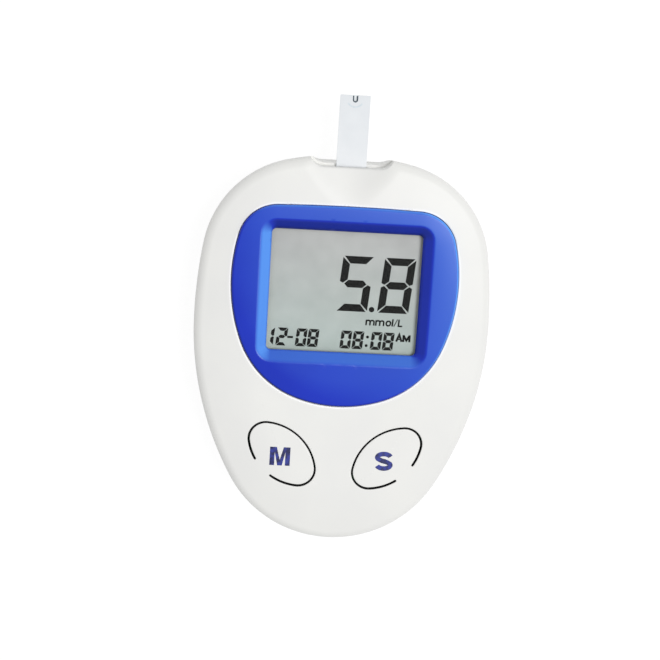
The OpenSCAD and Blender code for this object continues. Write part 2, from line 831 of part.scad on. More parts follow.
module strip_port_contacts() {
    leaf_low_z = slot_high_z + seat_gap;
    tip_y = port_end_y - 3;
    color("#d8b25a")
        for (i = [0 : track_count - 1])
            translate([track_x(i), 0, 0]) {
                box(-contact_w / 2, contact_w / 2, contact_leg_y, contact_leg_y + contact_t,
                    board_top_z, leaf_low_z + contact_t);
                box(-contact_w / 2, contact_w / 2, contact_leg_y, tip_y + contact_w,
                    leaf_low_z, leaf_low_z + contact_t);
                box(-contact_w / 2, contact_w / 2, tip_y, tip_y + contact_w,
                    spacer_low_z + seat_gap, leaf_low_z);
            }
}

module strip_base() {
    color("#e6eaed")
        box(-strip_w / 2, strip_w / 2, strip_inner_y, strip_tip_y, strip_low_z, track_low_z);
}

module strip_tracks() {
    color("#3a3d40")
        for (i = [0 : track_count - 1])
            box(track_x(i) - 0.5, track_x(i) + 0.5, strip_inner_y, strip_tip_y - track_margin,
                track_low_z, spacer_low_z);
}

module strip_spacer() {
    color("#dfe5e8")
        difference() {
            box(-strip_w / 2, strip_w / 2, strip_tip_y - strip_cover_l, strip_tip_y,
                spacer_low_z, cover_low_z);
            box(-sample_half_w, sample_half_w, strip_tip_y - sample_l, strip_tip_y + 1,
                spacer_low_z - 1, cover_low_z + 1);
        }
}

module strip_cover() {
    color("#e3e8ea")
        difference() {
            box(-strip_w / 2, strip_w / 2, strip_tip_y - strip_cover_l, strip_tip_y,
                cover_low_z, strip_top_z);
            rod(0, strip_tip_y - notch_l, sample_half_w, cover_low_z - 1, strip_top_z + 1);
            box(-sample_half_w, sample_half_w, strip_tip_y - notch_l, strip_tip_y + 1,
                cover_low_z - 1, strip_top_z + 1);
        }
}

// ---- Rear half and battery -------------------------------------------------------------

// Space that the battery door and its runners slide in, larger by a gap all round
module door_space(gap) {
    box(-door_half_w - gap, door_half_w + gap, -past, door_end_y + gap, -1, door_t + gap / 2);
    box(-door_half_w - runner_w - gap, door_half_w + runner_w + gap, -past, door_end_y - 4 + gap,
        runner_low_z - gap, door_t + gap / 2);
    box(-4 - gap, 4 + gap, -past, door_end_y + 1.4 + gap, runner_low_z - gap, door_t + gap / 2);
}

module battery_door() {
    ridge_pitch = 2;
    color("#e9e8e5")
        difference() {
            intersection() {
                rear_block();
                door_space(0);
                box(-past, past, -past, past, door_low_z, door_t);
            }
            for (i = [0 : ridge_count - 1])
                box(-6, 6, cell_y - 4 - i * ridge_pitch, cell_y - 3.2 - i * ridge_pitch,
                    -1, door_low_z + 0.5);
        }
}

module rear_housing() {
    hollow_heights = [back_wall, back_wall + 1.8, back_wall + 4.2];
    color("#e6e5e2")
        difference() {
            union() {
                difference() {
                    rear_block();
                    for (z = hollow_heights)
                        plate(body_arcs, side_inset(z) + wall, z, split_z + 1);
                }
                // Tray that holds the door's runners, and the cell's round bay
                intersection() {
                    plate(body_arcs, side_inset(back_wall) + wall - 0.3, 1, tray_top_z);
                    box(-tray_half_w, tray_half_w, -past, door_end_y + 3, 1, tray_top_z);
                }
                rod(0, cell_y, bay_r + bay_wall, 1, bay_top_z);
                for (p = housing_screw_places)
                    rod(p[0], p[1], rear_post_r, back_wall - 0.8, split_z);
                // Lip that the front half laps over
                difference() {
                    plate(body_arcs, hollow_inset + fit_gap, split_z - 2, split_z + lip_h);
                    plate(body_arcs, hollow_inset + fit_gap + lip_w, split_z - 3, split_z + lip_h + 1);
                }
            }
            door_space(0.15);
            rod(0, cell_y, bay_r, -1, bay_roof_z);
            // Slots that the two battery contacts pass through
            box(-leg_half_w - 0.3, leg_half_w + 0.3, leg_y - 0.3, leg_y + contact_strip_t + 0.3,
                bay_roof_z - 1, bay_top_z + 1);
            box(cell_r - 1.5, side_contact_x + contact_strip_t + 0.2,
                cell_y - side_contact_half_w - 0.2, cell_y + side_contact_half_w + 0.2,
                cell_low_z, bay_top_z + 1);
            for (p = housing_screw_places) {
                rod(p[0], p[1], head_r + 0.3, -1, head_seat_z);
                rod(p[0], p[1], screw_r + fit_gap, head_seat_z - 1, split_z + 1);
            }
            box(-label_half_w - fit_gap, label_half_w + fit_gap, label_low_y - fit_gap,
                label_high_y + fit_gap, -1, label_depth);
            // The notch under the strip, carried on from the front half
            end_notch(end_y - lip_inset, -1, split_z + 1);
        }
}

module coin_cell() {
    can_t = cell_t - 0.4;
    color("#c8cbce") {
        rod(0, cell_y, cell_r, cell_low_z, cell_low_z + can_t);
        rod(0, cell_y, cell_r - 1, cell_low_z, cell_low_z + cell_t);
    }
}

module battery_negative_contact() {
    color("#d5c08a") {
        box(-leaf_half_w, leaf_half_w, leg_y, cell_y + leaf_past, leaf_z, leaf_z + contact_strip_t);
        rod(0, cell_y, button_pad_r, cell_low_z + cell_t + seat_gap, leaf_z);
        box(-leg_half_w, leg_half_w, leg_y, leg_y + contact_strip_t, leaf_z, board_low_z);
    }
}

module battery_positive_contact() {
    color("#d5c08a")
        box(side_contact_x, side_contact_x + contact_strip_t, cell_y - side_contact_half_w,
            cell_y + side_contact_half_w, cell_low_z + 0.4, board_low_z);
}

// Pan-head screw with a cross recess, standing head down
module screw(p, seat_z, shank_l) {
    recess_w = screw_r * 0.45;
    difference() {
        union() {
            rod(p[0], p[1], head_r, seat_z - head_h, seat_z);
            rod(p[0], p[1], screw_r, seat_z, seat_z + shank_l);
        }
        for (turn = [0, 90])
            translate([p[0], p[1], 0])
                rotate(turn)
                    box(-screw_r, screw_r, -recess_w / 2, recess_w / 2,
                        seat_z - head_h - 1, seat_z - head_h / 2);
    }
}

module housing_screws() {
    color("#8d9094")
        for (p = housing_screw_places)
            screw(p, head_seat_z, housing_screw_l);
}

module board_screws() {
    color("#8d9094")
        for (p = board_screw_places)
            screw(p, board_low_z, board_screw_l);
}

module rear_label() {
    color("#d9dbdc")
        box(-label_half_w, label_half_w, label_low_y, label_high_y, label_depth - label_t, label_depth);
}

front_housing();
rear_housing();
display_bezel();
display_lens();
lcd_polariser();
lcd_front_glass();
lcd_rear_glass();
lcd_reflector();
lcd_carrier();
lcd_connector();
main_board();
microcontroller();
analog_chip();
clock_crystal();
board_passives();
buzzer();
strip_port_housing();
strip_port_contacts();
switch_body(-1);  // memory_switch_body
switch_body(1);  // set_switch_body
coin_cell();
battery_positive_contact();
battery_negative_contact();
housing_screws();
board_screws();
rear_label();
button(-1);  // memory_button
button(1);  // set_button
switch_plunger(-1);  // memory_switch_plunger
switch_plunger(1);  // set_switch_plunger
battery_door();
strip_base();
strip_tracks();
strip_spacer();
strip_cover();
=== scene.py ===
"""Looks of a blood glucose meter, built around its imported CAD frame.

Every size is in millimetres in the CAD frame: +X right for the reader, +Y toward the test strip,
+Z out of the display, with the origin on the resting face. Meshes are written in metres.
"""

import json
import logging
import math
from dataclasses import dataclass, field
from enum import Enum, IntEnum

import bpy
import numpy as np
from mathutils import Matrix, Vector
from mathutils.geometry import delaunay_2d_cdt


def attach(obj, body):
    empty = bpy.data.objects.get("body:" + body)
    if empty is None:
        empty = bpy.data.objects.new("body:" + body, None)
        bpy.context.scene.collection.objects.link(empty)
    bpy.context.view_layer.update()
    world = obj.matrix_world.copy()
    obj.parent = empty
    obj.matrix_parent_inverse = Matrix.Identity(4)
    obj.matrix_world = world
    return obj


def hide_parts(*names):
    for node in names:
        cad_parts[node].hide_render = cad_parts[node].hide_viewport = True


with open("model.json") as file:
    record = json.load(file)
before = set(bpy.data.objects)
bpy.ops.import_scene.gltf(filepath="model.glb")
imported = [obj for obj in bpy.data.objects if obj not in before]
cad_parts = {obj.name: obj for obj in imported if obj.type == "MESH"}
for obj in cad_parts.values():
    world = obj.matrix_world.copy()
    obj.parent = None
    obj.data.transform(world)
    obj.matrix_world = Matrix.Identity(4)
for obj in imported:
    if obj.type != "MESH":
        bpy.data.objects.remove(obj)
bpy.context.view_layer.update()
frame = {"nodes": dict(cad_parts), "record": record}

LOG = logging.getLogger("meter")
MM = 0.001
FAR = 1e6
# Points that share a cell this wide, in millimetres, are one point
WELD = 2e-3
# Smallest area and distance that the triangulation keeps apart
TINY = 1e-7
# Slack, in radians, at the ends of an arc
ARC_SLACK = 1e-6
# Range that holds most values of a noise texture
NOISE_SPAN = (0.3, 0.7)


class Face(IntEnum):
    """Material index of a face within one piece."""

    SKIN = 0
    GROOVE = 1


class Side(IntEnum):
    """Which of the two buttons a piece belongs to."""

    LEFT = -1
    RIGHT = 1


class Body(Enum):
    """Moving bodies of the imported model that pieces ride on."""

    CASE = "meter_case"
    MEMORY = "memory_button"
    SET = "set_button"
    STRIP = "test_strip"


# ---- Outlines ------------------------------------------------------------------------------


def unit(angle: np.ndarray) -> np.ndarray:
    """Unit vectors at the given angles in radians, in rows of two."""
    return np.stack([np.cos(angle), np.sin(angle)], axis=-1)


def crossing(a: np.ndarray, ra: float, b: np.ndarray, rb: float) -> np.ndarray:
    """Point where circles about a and b cross, the one further along +X.

    Args:
        a: centre of the first circle.
        ra: its radius.
        b: centre of the second circle.
        rb: its radius.

    Returns:
        The crossing, as two coordinates.
    """
    gap = b - a
    span = math.hypot(*gap)
    along = (ra * ra - rb * rb + span * span) / (2 * span)
    across = math.sqrt(max(ra * ra - along * along, 0.0))
    turn = np.array([-gap[1], gap[0]]) * across / span
    foot = a + gap * along / span
    return foot + turn if turn[0] > 0 else foot - turn


def touch_angle(a: np.ndarray, ra: float, b: np.ndarray, rb: float) -> float:
    """Angle in radians at which two tangent arcs meet, the smaller inside the larger."""
    v = b - a if ra > rb else a - b
    return math.atan2(v[1], v[0])


@dataclass(frozen=True)
class Trace:
    """Points sampled along a chain of arcs: each keeps its arc's centre, radius and angle."""

    centres: np.ndarray
    radii: np.ndarray
    angles: np.ndarray

    def at(self, inset: float) -> np.ndarray:
        """The points drawn in toward their arc centres by inset."""
        return self.centres + (self.radii - inset)[:, None] * unit(self.angles)

    def pick(self, keep: np.ndarray) -> "Trace":
        """The points that keep selects, by mask or by index."""
        return Trace(self.centres[keep], self.radii[keep], self.angles[keep])


@dataclass(frozen=True)
class Chain:
    """Closed counter-clockwise chain of tangent arcs."""

    centres: np.ndarray
    radii: np.ndarray
    starts: np.ndarray
    sweeps: np.ndarray

    @classmethod
    def of(cls, arcs: list) -> "Chain":
        """Chain from (centre, radius, start, sweep) rows."""
        centres, radii, starts, sweeps = zip(*arcs)
        return cls(np.array(centres), np.array(radii), np.array(starts), np.array(sweeps))

    @classmethod
    def oval(cls, a: float, b: float, end_r: float) -> "Chain":
        """Four-arc oval with half length a, half width b and end radius end_r."""
        side_r = ((a - end_r) ** 2 + b * b - end_r * end_r) / (2 * (b - end_r))
        end_c, side_c = np.array([a - end_r, 0.0]), np.array([0.0, b - side_r])
        t = touch_angle(side_c, side_r, end_c, end_r)
        flip = np.array([-1.0, -1.0])
        return cls.of([
            (end_c, end_r, -t, 2 * t),
            (side_c, side_r, t, math.pi - 2 * t),
            (end_c * flip, end_r, math.pi - t, 2 * t),
            (side_c * flip, side_r, math.pi + t, math.pi - 2 * t),
        ])

    def trace(self, step: float) -> Trace:
        """Samples the chain about every step millimetres."""
        parts = []
        for c, r, start, sweep in zip(self.centres, self.radii, self.starts, self.sweeps):
            count = max(2, math.ceil(r * sweep / step))
            angle = start + sweep * np.arange(count) / count
            parts.append((np.repeat(c[None], count, 0), np.full(count, r), angle))
        return Trace(*(np.concatenate(column) for column in zip(*parts)))

    def depth(self, xy: np.ndarray) -> np.ndarray:
        """Distance from each point out to the outline, the least over the arcs that face it."""
        v = xy[:, None, :] - self.centres[None]
        turned = (np.arctan2(v[..., 1], v[..., 0]) - self.starts) % (2 * np.pi)
        reach = self.radii - np.hypot(v[..., 0], v[..., 1])
        faced = (turned <= self.sweeps + ARC_SLACK) | (turned >= 2 * np.pi - ARC_SLACK)
        return np.where(faced, reach, FAR).min(axis=1)


@dataclass(frozen=True)
class EggHalf:
    """Half of an egg outline, from its widest line to one end: side, middle and end arcs."""

    half_w: float
    height: float
    side_r: float
    low: float
    high: float

    def closing_radii(self) -> tuple:
        """Radii of the middle and end arcs, from the two angles in degrees where arcs meet."""
        a, b = math.radians(self.low), math.radians(self.high)
        w = self.half_w - self.side_r * (1 - math.cos(a))
        h = self.height - self.side_r * math.sin(a)
        fall, rise = math.cos(a) - math.cos(b), math.sin(b) - math.sin(a)
        share = fall * (1 - math.sin(b)) - math.cos(b) * rise
        return (w * (1 - math.sin(b)) - h * math.cos(b)) / share, (fall * h - rise * w) / share

    def arcs(self, y: float, sign: float) -> list:
        """Arc rows of this half, counter-clockwise; sign is 1 above the widest line, -1 below."""
        low, high = math.radians(self.low), math.radians(self.high)
        mid_r, end_r = self.closing_radii()
        side_c = np.array([self.half_w - self.side_r, 0.0])
        mid_c = side_c + (self.side_r - mid_r) * unit(low)
        end_c = np.array([0.0, self.height - end_r])
        flip = np.array([-1.0, 1.0])
        rows = [
            (side_c, self.side_r, 0.0, low),
            (mid_c, mid_r, low, high - low),
            (end_c, end_r, high, math.pi - 2 * high),
            (mid_c * flip, mid_r, math.pi - high, high - low),
            (side_c * flip, self.side_r, math.pi - low, low),
        ]
        if sign < 0:
            rows = [(c * [1, -1], r, -(s + w), w) for c, r, s, w in reversed(rows)]
        return [(c + np.array([0.0, y]), r, s, w) for c, r, s, w in rows]


def egg(upper: EggHalf, lower: EggHalf, wide_y: float) -> Chain:
    """Whole egg outline whose widest line lies at wide_y."""
    return Chain.of(upper.arcs(wide_y, 1) + lower.arcs(wide_y, -1))


# ---- Sheets --------------------------------------------------------------------------------


@dataclass
class Sheet:
    """Triangulated surface in millimetres, with a material index per face and a painted light mark
    per point: painted highlight above zero, painted shade below.
    """

    points: np.ndarray
    faces: np.ndarray
    slots: np.ndarray
    marks: np.ndarray

    @staticmethod
    def strip(rows: list, slot: Face = Face.SKIN, closed: bool = True, flip: bool = False,
              keep: np.ndarray | None = None) -> "Sheet":
        """Wall between rows of matching points, each row an (n, 3) array.

        Args:
            rows: the rows from top to bottom.
            slot: material index of the wall.
            closed: whether the last column joins the first.
            flip: turns the faces over.
            keep: which columns' quads are made, all when None.

        Returns:
            The wall, two triangles for each quad.
        """
        grid = np.stack(rows)
        count, n = grid.shape[:2]
        cols = np.arange(n if closed else n - 1)
        if keep is not None:
            cols = cols[keep[: len(cols)]]
        nxt = (cols + 1) % n
        k = np.arange(count - 1)[:, None] * n
        a, b, c, d = (k + cols), (k + n + cols), (k + n + nxt), (k + nxt)
        tris = np.concatenate([np.stack([a, b, c], -1).reshape(-1, 3),
                               np.stack([a, c, d], -1).reshape(-1, 3)])
        if flip:
            tris = tris[:, ::-1]
        points = grid.reshape(-1, 3)
        return Sheet(points, tris, np.full(len(tris), int(slot)), np.zeros(len(points)))

    @staticmethod
    def welded(parts: list) -> "Sheet":
        """Joins sheets, merging points that lie on each other and dropping collapsed faces."""
        offsets = np.cumsum([0] + [len(p.points) for p in parts[:-1]])
        points = np.concatenate([p.points for p in parts])
        marks = np.concatenate([p.marks for p in parts])
        faces = np.concatenate([p.faces + o for p, o in zip(parts, offsets)])
        slots = np.concatenate([p.slots for p in parts])
        keys = np.round(points / WELD).astype(np.int64)
        _, first, inverse = np.unique(keys, axis=0, return_index=True, return_inverse=True)
        faces = inverse.reshape(-1)[faces]
        whole = ((faces[:, 0] != faces[:, 1]) & (faces[:, 1] != faces[:, 2])
                 & (faces[:, 2] != faces[:, 0]))
        return Sheet(points[first], faces[whole], slots[whole], marks[first])


def inside(loop: np.ndarray, xy: np.ndarray) -> np.ndarray:
    """Even-odd test of points against a closed polygon."""
    a, b = loop, np.roll(loop, -1, axis=0)
    x, y = xy[:, :1], xy[:, 1:]
    spans = (a[:, 1] > y) != (b[:, 1] > y)
    rise = np.where(b[:, 1] == a[:, 1], 1.0, b[:, 1] - a[:, 1])
    at = a[:, 0] + (y - a[:, 1]) * (b[:, 0] - a[:, 0]) / rise
    return (spans & (x < at)).sum(axis=1) % 2 == 1


def nearest(points: np.ndarray, others: np.ndarray, chunk: int = 512) -> np.ndarray:
    """Distance from each point to the closest of others."""
    out = [np.hypot(*np.moveaxis(part[:, None] - others[None], -1, 0)).min(axis=1)
           for part in np.array_split(points, max(1, len(points) // chunk))]
    return np.concatenate(out) if len(points) else np.zeros(0)


@dataclass
class Drawing:
    """Flat drawing that becomes a curved sheet: loops bound it, loose points refine it."""

    outer: np.ndarray
    outer_drop: np.ndarray
    holes: list = field(default_factory=list)
    points: list = field(default_factory=list)

    def cut(self, loop: np.ndarray, drop: np.ndarray) -> None:
        """Adds a hole whose edge lies drop below the surface."""
        self.holes.append((loop, drop))

    def add(self, xy: np.ndarray, drop: float | np.ndarray = 0.0, clear: float = 0.02) -> None:
        """Adds loose points that stay at least clear from everything drawn before them."""
        drop = np.broadcast_to(drop, (len(xy),))
        fits = inside(self.outer, xy)
        for loop, _ in self.holes:
            fits &= ~inside(loop, xy)
        xy, drop = xy[fits], drop[fits]
        before = [self.outer] + [h[0] for h in self.holes] + [p[0] for p in self.points]
        far = nearest(xy, np.concatenate(before)) > clear
        self.points.append((xy[far], drop[far]))

    def add_grid(self, step: float, low: tuple, high: tuple) -> None:
        """Fills a box of the drawing with a triangular grid of points step apart."""
        row, clear = 0.866, 0.55
        xs = np.arange(low[0], high[0], step)
        ys = np.arange(low[1], high[1], step * row)
        gx, gy = np.meshgrid(xs, ys)
        gx = gx + (np.arange(len(ys)) % 2)[:, None] * step / 2
        self.add(np.stack([gx.ravel(), gy.ravel()], -1), 0.0, step * clear)

    def sheet(self, height, slot: Face = Face.SKIN) -> Sheet:
        """Triangulates the drawing and lifts it to the surface.

        Args:
            height: function of (n, 2) points giving their height.
            slot: material index of the faces.

        Returns:
            The lifted surface, facing +Z.
        """
        loops = [(self.outer, self.outer_drop)] + self.holes
        xy = np.concatenate([loop for loop, _ in loops] + [p for p, _ in self.points])
        drop = np.concatenate([d for _, d in loops] + [d for _, d in self.points])
        edges, base = [], 0
        for loop, _ in loops:
            index = np.arange(len(loop)) + base
            edges.append(np.stack([index, np.roll(index, -1)], -1))
            base += len(loop)
        made = delaunay_2d_cdt([Vector(p) for p in xy.tolist()],
                               np.concatenate(edges).tolist(), [], 0, TINY)
        flat = np.array([tuple(v) for v in made[0]])
        lowered = np.array([drop[ids[0]] if ids else 0.0 for ids in made[3]])
        tris = np.array([f for f in made[2] if len(f) == 3])
        a, b, c = (flat[tris[:, i]] for i in range(3))
        area = np.cross(b - a, c - a)
        tris[area < 0] = tris[area < 0][:, ::-1]
        middle = (a + b + c) / 3
        keep = inside(self.outer, middle) & (np.abs(area) > TINY)
        for loop, _ in self.holes:
            keep &= ~inside(loop, middle)
        tris = tris[keep]
        points = np.column_stack([flat, height(flat) - lowered])
        return Sheet(points, tris, np.full(len(tris), int(slot)), np.zeros(len(points)))


def lifted(xy: np.ndarray, z: float | np.ndarray) -> np.ndarray:
    """Flat points given a height."""
    return np.column_stack([xy, np.broadcast_to(z, (len(xy),))])


def skirt(loop: np.ndarray, top: np.ndarray, low_z: float, slot: Face = Face.SKIN,
          flip: bool = False, keep: np.ndarray | None = None) -> Sheet:
    """Straight wall round a loop, from its top heights down to low_z."""
    return Sheet.strip([lifted(loop, top), lifted(loop, low_z)], slot, flip=flip, keep=keep)


def soft_min(a: np.ndarray, b: np.ndarray, blend: float) -> np.ndarray:
    """Lower of two heights, rounded over where they are within blend of each other."""
    h = np.clip(blend - np.abs(a - b), 0, None) / blend
    return np.minimum(a, b) - h * h * blend / 4


def roll_off(distance: float, radius: float) -> float:
    """Drop of a rounded edge at a distance from it."""
    return radius * (1 - math.sqrt(max(1 - max(1 - distance / radius, 0) ** 2, 0)))


# ---- Sizes of the meter --------------------------------------------------------------------


@dataclass(frozen=True)
class CaseForm:
    """Section of the housing's front half."""

    wide_y: float = 6.1
    equator_z: float = 15.018
    crown_z: float = 18.4
    edge_r: float = 2.4
    crown_reach: float = 14.0
    crown_r: float = 70.0
    back_inset: float = 9.5
    split_z: float = 9.0
    chamfer: float = 0.14
    chamfer_h: float = 0.16
    land: float = 0.9

    def height(self, depth: np.ndarray) -> np.ndarray:
        """Height over a depth in from the outline: a corner arc, the crown's arc, then flat."""
        corner = math.acos((self.crown_reach - self.edge_r) / (self.crown_r - self.edge_r))
        edge = np.sqrt(np.clip(self.edge_r ** 2 - (self.edge_r - depth) ** 2, 0, None))
        crown = np.sqrt(self.crown_r ** 2 - np.clip(self.crown_reach - depth, 0, None) ** 2)
        on_edge = depth < self.edge_r * (1 - math.cos(corner))
        base = self.crown_z - self.crown_r
        return np.where(on_edge, self.equator_z + edge, base + crown)

    def side_inset(self, z: float) -> float:
        """How far the side lies in from the outline at height z, along a quarter ellipse."""
        t = (self.equator_z - z) / self.equator_z
        return self.back_inset * (1 - math.sqrt(max(1 - t * t, 0.0)))


@dataclass(frozen=True)
class ScoopForm:
    """Cone that hollows the strip end, and the notch where it runs out."""

    apex_y: float = 24.6
    apex_z: float = 21.4
    fall: float = math.radians(17.9)
    spread: float = math.radians(58.0)
    blend: float = 0.7
    notch_half_w: float = 9.6
    notch_r: float = 3.6
    rim_y: float = 41.75
    lip_y: float = 42.35
    rim_round: float = 0.3

    def height(self, xy: np.ndarray) -> np.ndarray:
        """Lower side of a cone tilted up out of the face, solved from its quadratic."""
        tilt = self.spread - self.fall
        ay, az, k = math.cos(tilt), math.sin(tilt), math.cos(self.spread)
        x, y = xy[:, 0], xy[:, 1] - self.apex_y
        a = az * az - k * k
        b = 2 * ay * az * y
        c = (ay * ay - k * k) * y * y - k * k * x * x
        return self.apex_z + (-b + np.sqrt(np.clip(b * b - 4 * a * c, 0, None))) / (2 * a)


@dataclass(frozen=True)
class ButtonForm:
    """One oval key and the slot round it, in its own directions: X along it, Y off its hinge."""

    x: float = 12.0
    y: float = -24.0
    tilt: float = math.radians(42.0)
    a: float = 9.05
    b: float = 5.65
    end_r: float = 3.9
    neck_low: float = -1.55
    neck_high: float = 3.3
    floor_z: float = 16.2
    edge_r: float = 0.14
    half_gap: float = 0.19
    low_gap: float = 0.06
    end_gap: float = 0.04
    step: float = 0.13

    def place(self, xy: np.ndarray, side: Side) -> np.ndarray:
        """Turns points from the button's own directions into the meter's."""
        c, s = math.cos(side * self.tilt), math.sin(side * self.tilt)
        turned = xy @ np.array([[c, s], [-s, c]])
        return turned + np.array([side * self.x, self.y])

    def slot(self, side: Side, way: int) -> "KeySlot":
        """Slot round one key, which narrows to nothing at the neck.

        Args:
            side: which key.
            way: 1 for the slot's edge on the housing, -1 for its edge on the key.

        Returns:
            The slot, seen from that edge.
        """
        trace = Chain.oval(self.a, self.b, self.end_r).trace(self.step)
        middle, out = trace.at(0.0), unit(trace.angles)
        x, hinge_side = middle[:, 0] * side, -1.0
        below = middle[:, 1] < hinge_side
        past = np.where(below, np.maximum(self.neck_low - x, x - self.neck_high), FAR)
        away = np.clip(-out[:, 1], 0, 1) * self.low_gap + np.abs(out[:, 0]) * self.end_gap
        half = self.half_gap + away
        t = np.clip(past / half, 0, 1)
        gap = half * np.sqrt(np.clip(1 - (1 - t) ** 2, 0, 1))
        return KeySlot(self, side, way, middle, out, gap)


@dataclass(frozen=True)
class KeySlot:
    """One edge of the slot round a key: middle line, outward normals and half width."""

    form: ButtonForm
    side: Side
    way: int
    middle: np.ndarray
    out: np.ndarray
    gap: np.ndarray

    @property
    def weight(self) -> np.ndarray:
        """Share of the edge's rounding at each point, nothing at the neck."""
        return np.clip(self.gap / self.form.half_gap, 0, 1)

    @property
    def drop(self) -> np.ndarray:
        """How far the rounding lowers the edge at each point."""
        return self.form.edge_r * self.weight

    def line(self, distance: float = 0.0) -> np.ndarray:
        """The edge, set off from the slot by a distance."""
        off = self.way * self.out * (self.gap + distance)[:, None]
        return self.form.place(self.middle + off, self.side)

    def add_rings(self, drawing: Drawing) -> None:
        """Adds the rows of points that carry the edge's rounding to a drawing."""
        for distance in (0.03, 0.08, 0.15, 0.4, 0.9):
            drawing.add(self.line(distance), roll_off(distance, self.form.edge_r) * self.weight,
                        0.025)

    def wall(self, height) -> Sheet:
        """Wall below the edge, painted dark as the shade in the slot; the housing's stays open at
        the neck.
        """
        loop, shut, outer = self.line(), 1e-4, self.way > 0
        open_ = (self.gap > shut) | (np.roll(self.gap, -1) > shut)
        return skirt(loop, height(loop) - self.drop, self.form.floor_z, Face.GROOVE, outer,
                     open_ if outer else None)


@dataclass(frozen=True)
class BezelForm:
    """Blue surround of the display."""

    wide_y: float = 16.25
    top_z: float = 19.0
    seat_z: float = 17.4
    rim_r: float = 0.5
    dome: float = 0.25
    dome_w: float = 6.0
    window_w: float = 33.8
    window_l: float = 27.6
    window_y: float = 13.85
    window_r: float = 1.0
    window_z: float = 17.0
    lens_z: float = 16.9
    bevel_w: float = 2.4
    bevel_over: float = 0.1
    blend: float = 0.36
    gap: float = 0.1
    recess_round: float = 0.25


BODY = egg(EggHalf(33.4, 38.3, 110.0, 9.1, 76.7), EggHalf(33.4, 50.5, 72.0, 14.6, 29.7),
           CaseForm.wide_y)
BEZEL = egg(EggHalf(25.4, 17.1, 41.0, 14.15, 87.9), EggHalf(25.4, 28.5, 39.6, 21.3, 70.15),
            BezelForm.wide_y)


# ---- Colours and finishes ------------------------------------------------------------------


def linear(colour: str) -> tuple:
    """Linear red, green, blue and full alpha of an sRGB hex colour."""
    raw = [int(colour[i:i + 2], 16) / 255 for i in (1, 3, 5)]
    return tuple(v / 12.92 if v <= 0.04045 else ((v + 0.055) / 1.055) ** 2.4 for v in raw) + (1.0,)


def add_node(tree: bpy.types.NodeTree, kind: str, settings: dict | None = None,
             links: dict | None = None) -> bpy.types.Node:
    """Adds one node.

    Args:
        tree: the node tree it goes in.
        kind: its type's identifier.
        settings: attributes to set on it.
        links: input name or index to a value, or to the socket that feeds it.

    Returns:
        The new node.
    """
    node = tree.nodes.new(kind)
    for key, value in (settings or {}).items():
        setattr(node, key, value)
    for key, value in (links or {}).items():
        if isinstance(value, bpy.types.NodeSocket):
            tree.links.new(value, node.inputs[key])
        else:
            node.inputs[key].default_value = value
    return node


class Recipe:
    """A material while its nodes are being added."""

    def __init__(self, name: str) -> None:
        """Starts a material with only an output node and its object coordinates."""
        self.material = bpy.data.materials.new(name)
        self.material.use_nodes = True
        self.tree = self.material.node_tree
        self.tree.nodes.clear()
        self.out = add_node(self.tree, "ShaderNodeOutputMaterial")
        self.where = self.add("ShaderNodeTexCoord", {}, "Object")

    def add(self, kind: str, links: dict | None = None, output: int | str = 0,
            **settings: str) -> bpy.types.NodeSocket:
        """Adds a node and gives one of its outputs."""
        return add_node(self.tree, kind, settings, links).outputs[output]

    def noise(self, size_mm: float, detail: float = 2.0,
              vector: bpy.types.NodeSocket | None = None) -> bpy.types.NodeSocket:
        """Noise with cells of about size_mm."""
        return self.add("ShaderNodeTexNoise", {
            "Vector": self.where if vector is None else vector, "Scale": 1 / (size_mm * MM),
            "Detail": detail})

    def mix(self, factor, a, b) -> bpy.types.NodeSocket:
        """Colour mix of a and b; each is a hex colour or a socket."""
        a, b = (linear(c) if isinstance(c, str) else c for c in (a, b))
        return self.add("ShaderNodeMix", {0: factor, 6: a, 7: b}, 2, data_type="RGBA")

    def ranged(self, value: bpy.types.NodeSocket, low: float, high: float, to_low: float = 0.0,
               to_high: float = 1.0) -> bpy.types.NodeSocket:
        """Value stretched from one range to another and kept within it."""
        return self.add("ShaderNodeMapRange", {
            "Value": value, "From Min": low, "From Max": high, "To Min": to_low,
            "To Max": to_high})

    def combine(self, operation: str, a, b) -> bpy.types.NodeSocket:
        """Result of one sum on a and b; each is a number or a socket."""
        return self.add("ShaderNodeMath", {0: a, 1: b}, operation=operation)

    def bump(self, height: bpy.types.NodeSocket, strength: float,
             depth_mm: float) -> bpy.types.NodeSocket:
        """Normal roughened by a height."""
        return self.add("ShaderNodeBump", {
            "Strength": strength, "Distance": depth_mm * MM, "Height": height})

    def shaded(self, kind: str, links: dict) -> bpy.types.Material:
        """Ends the material with a last shader node and hands it over."""
        self.tree.links.new(self.add(kind, links), self.out.inputs[0])
        return self.material


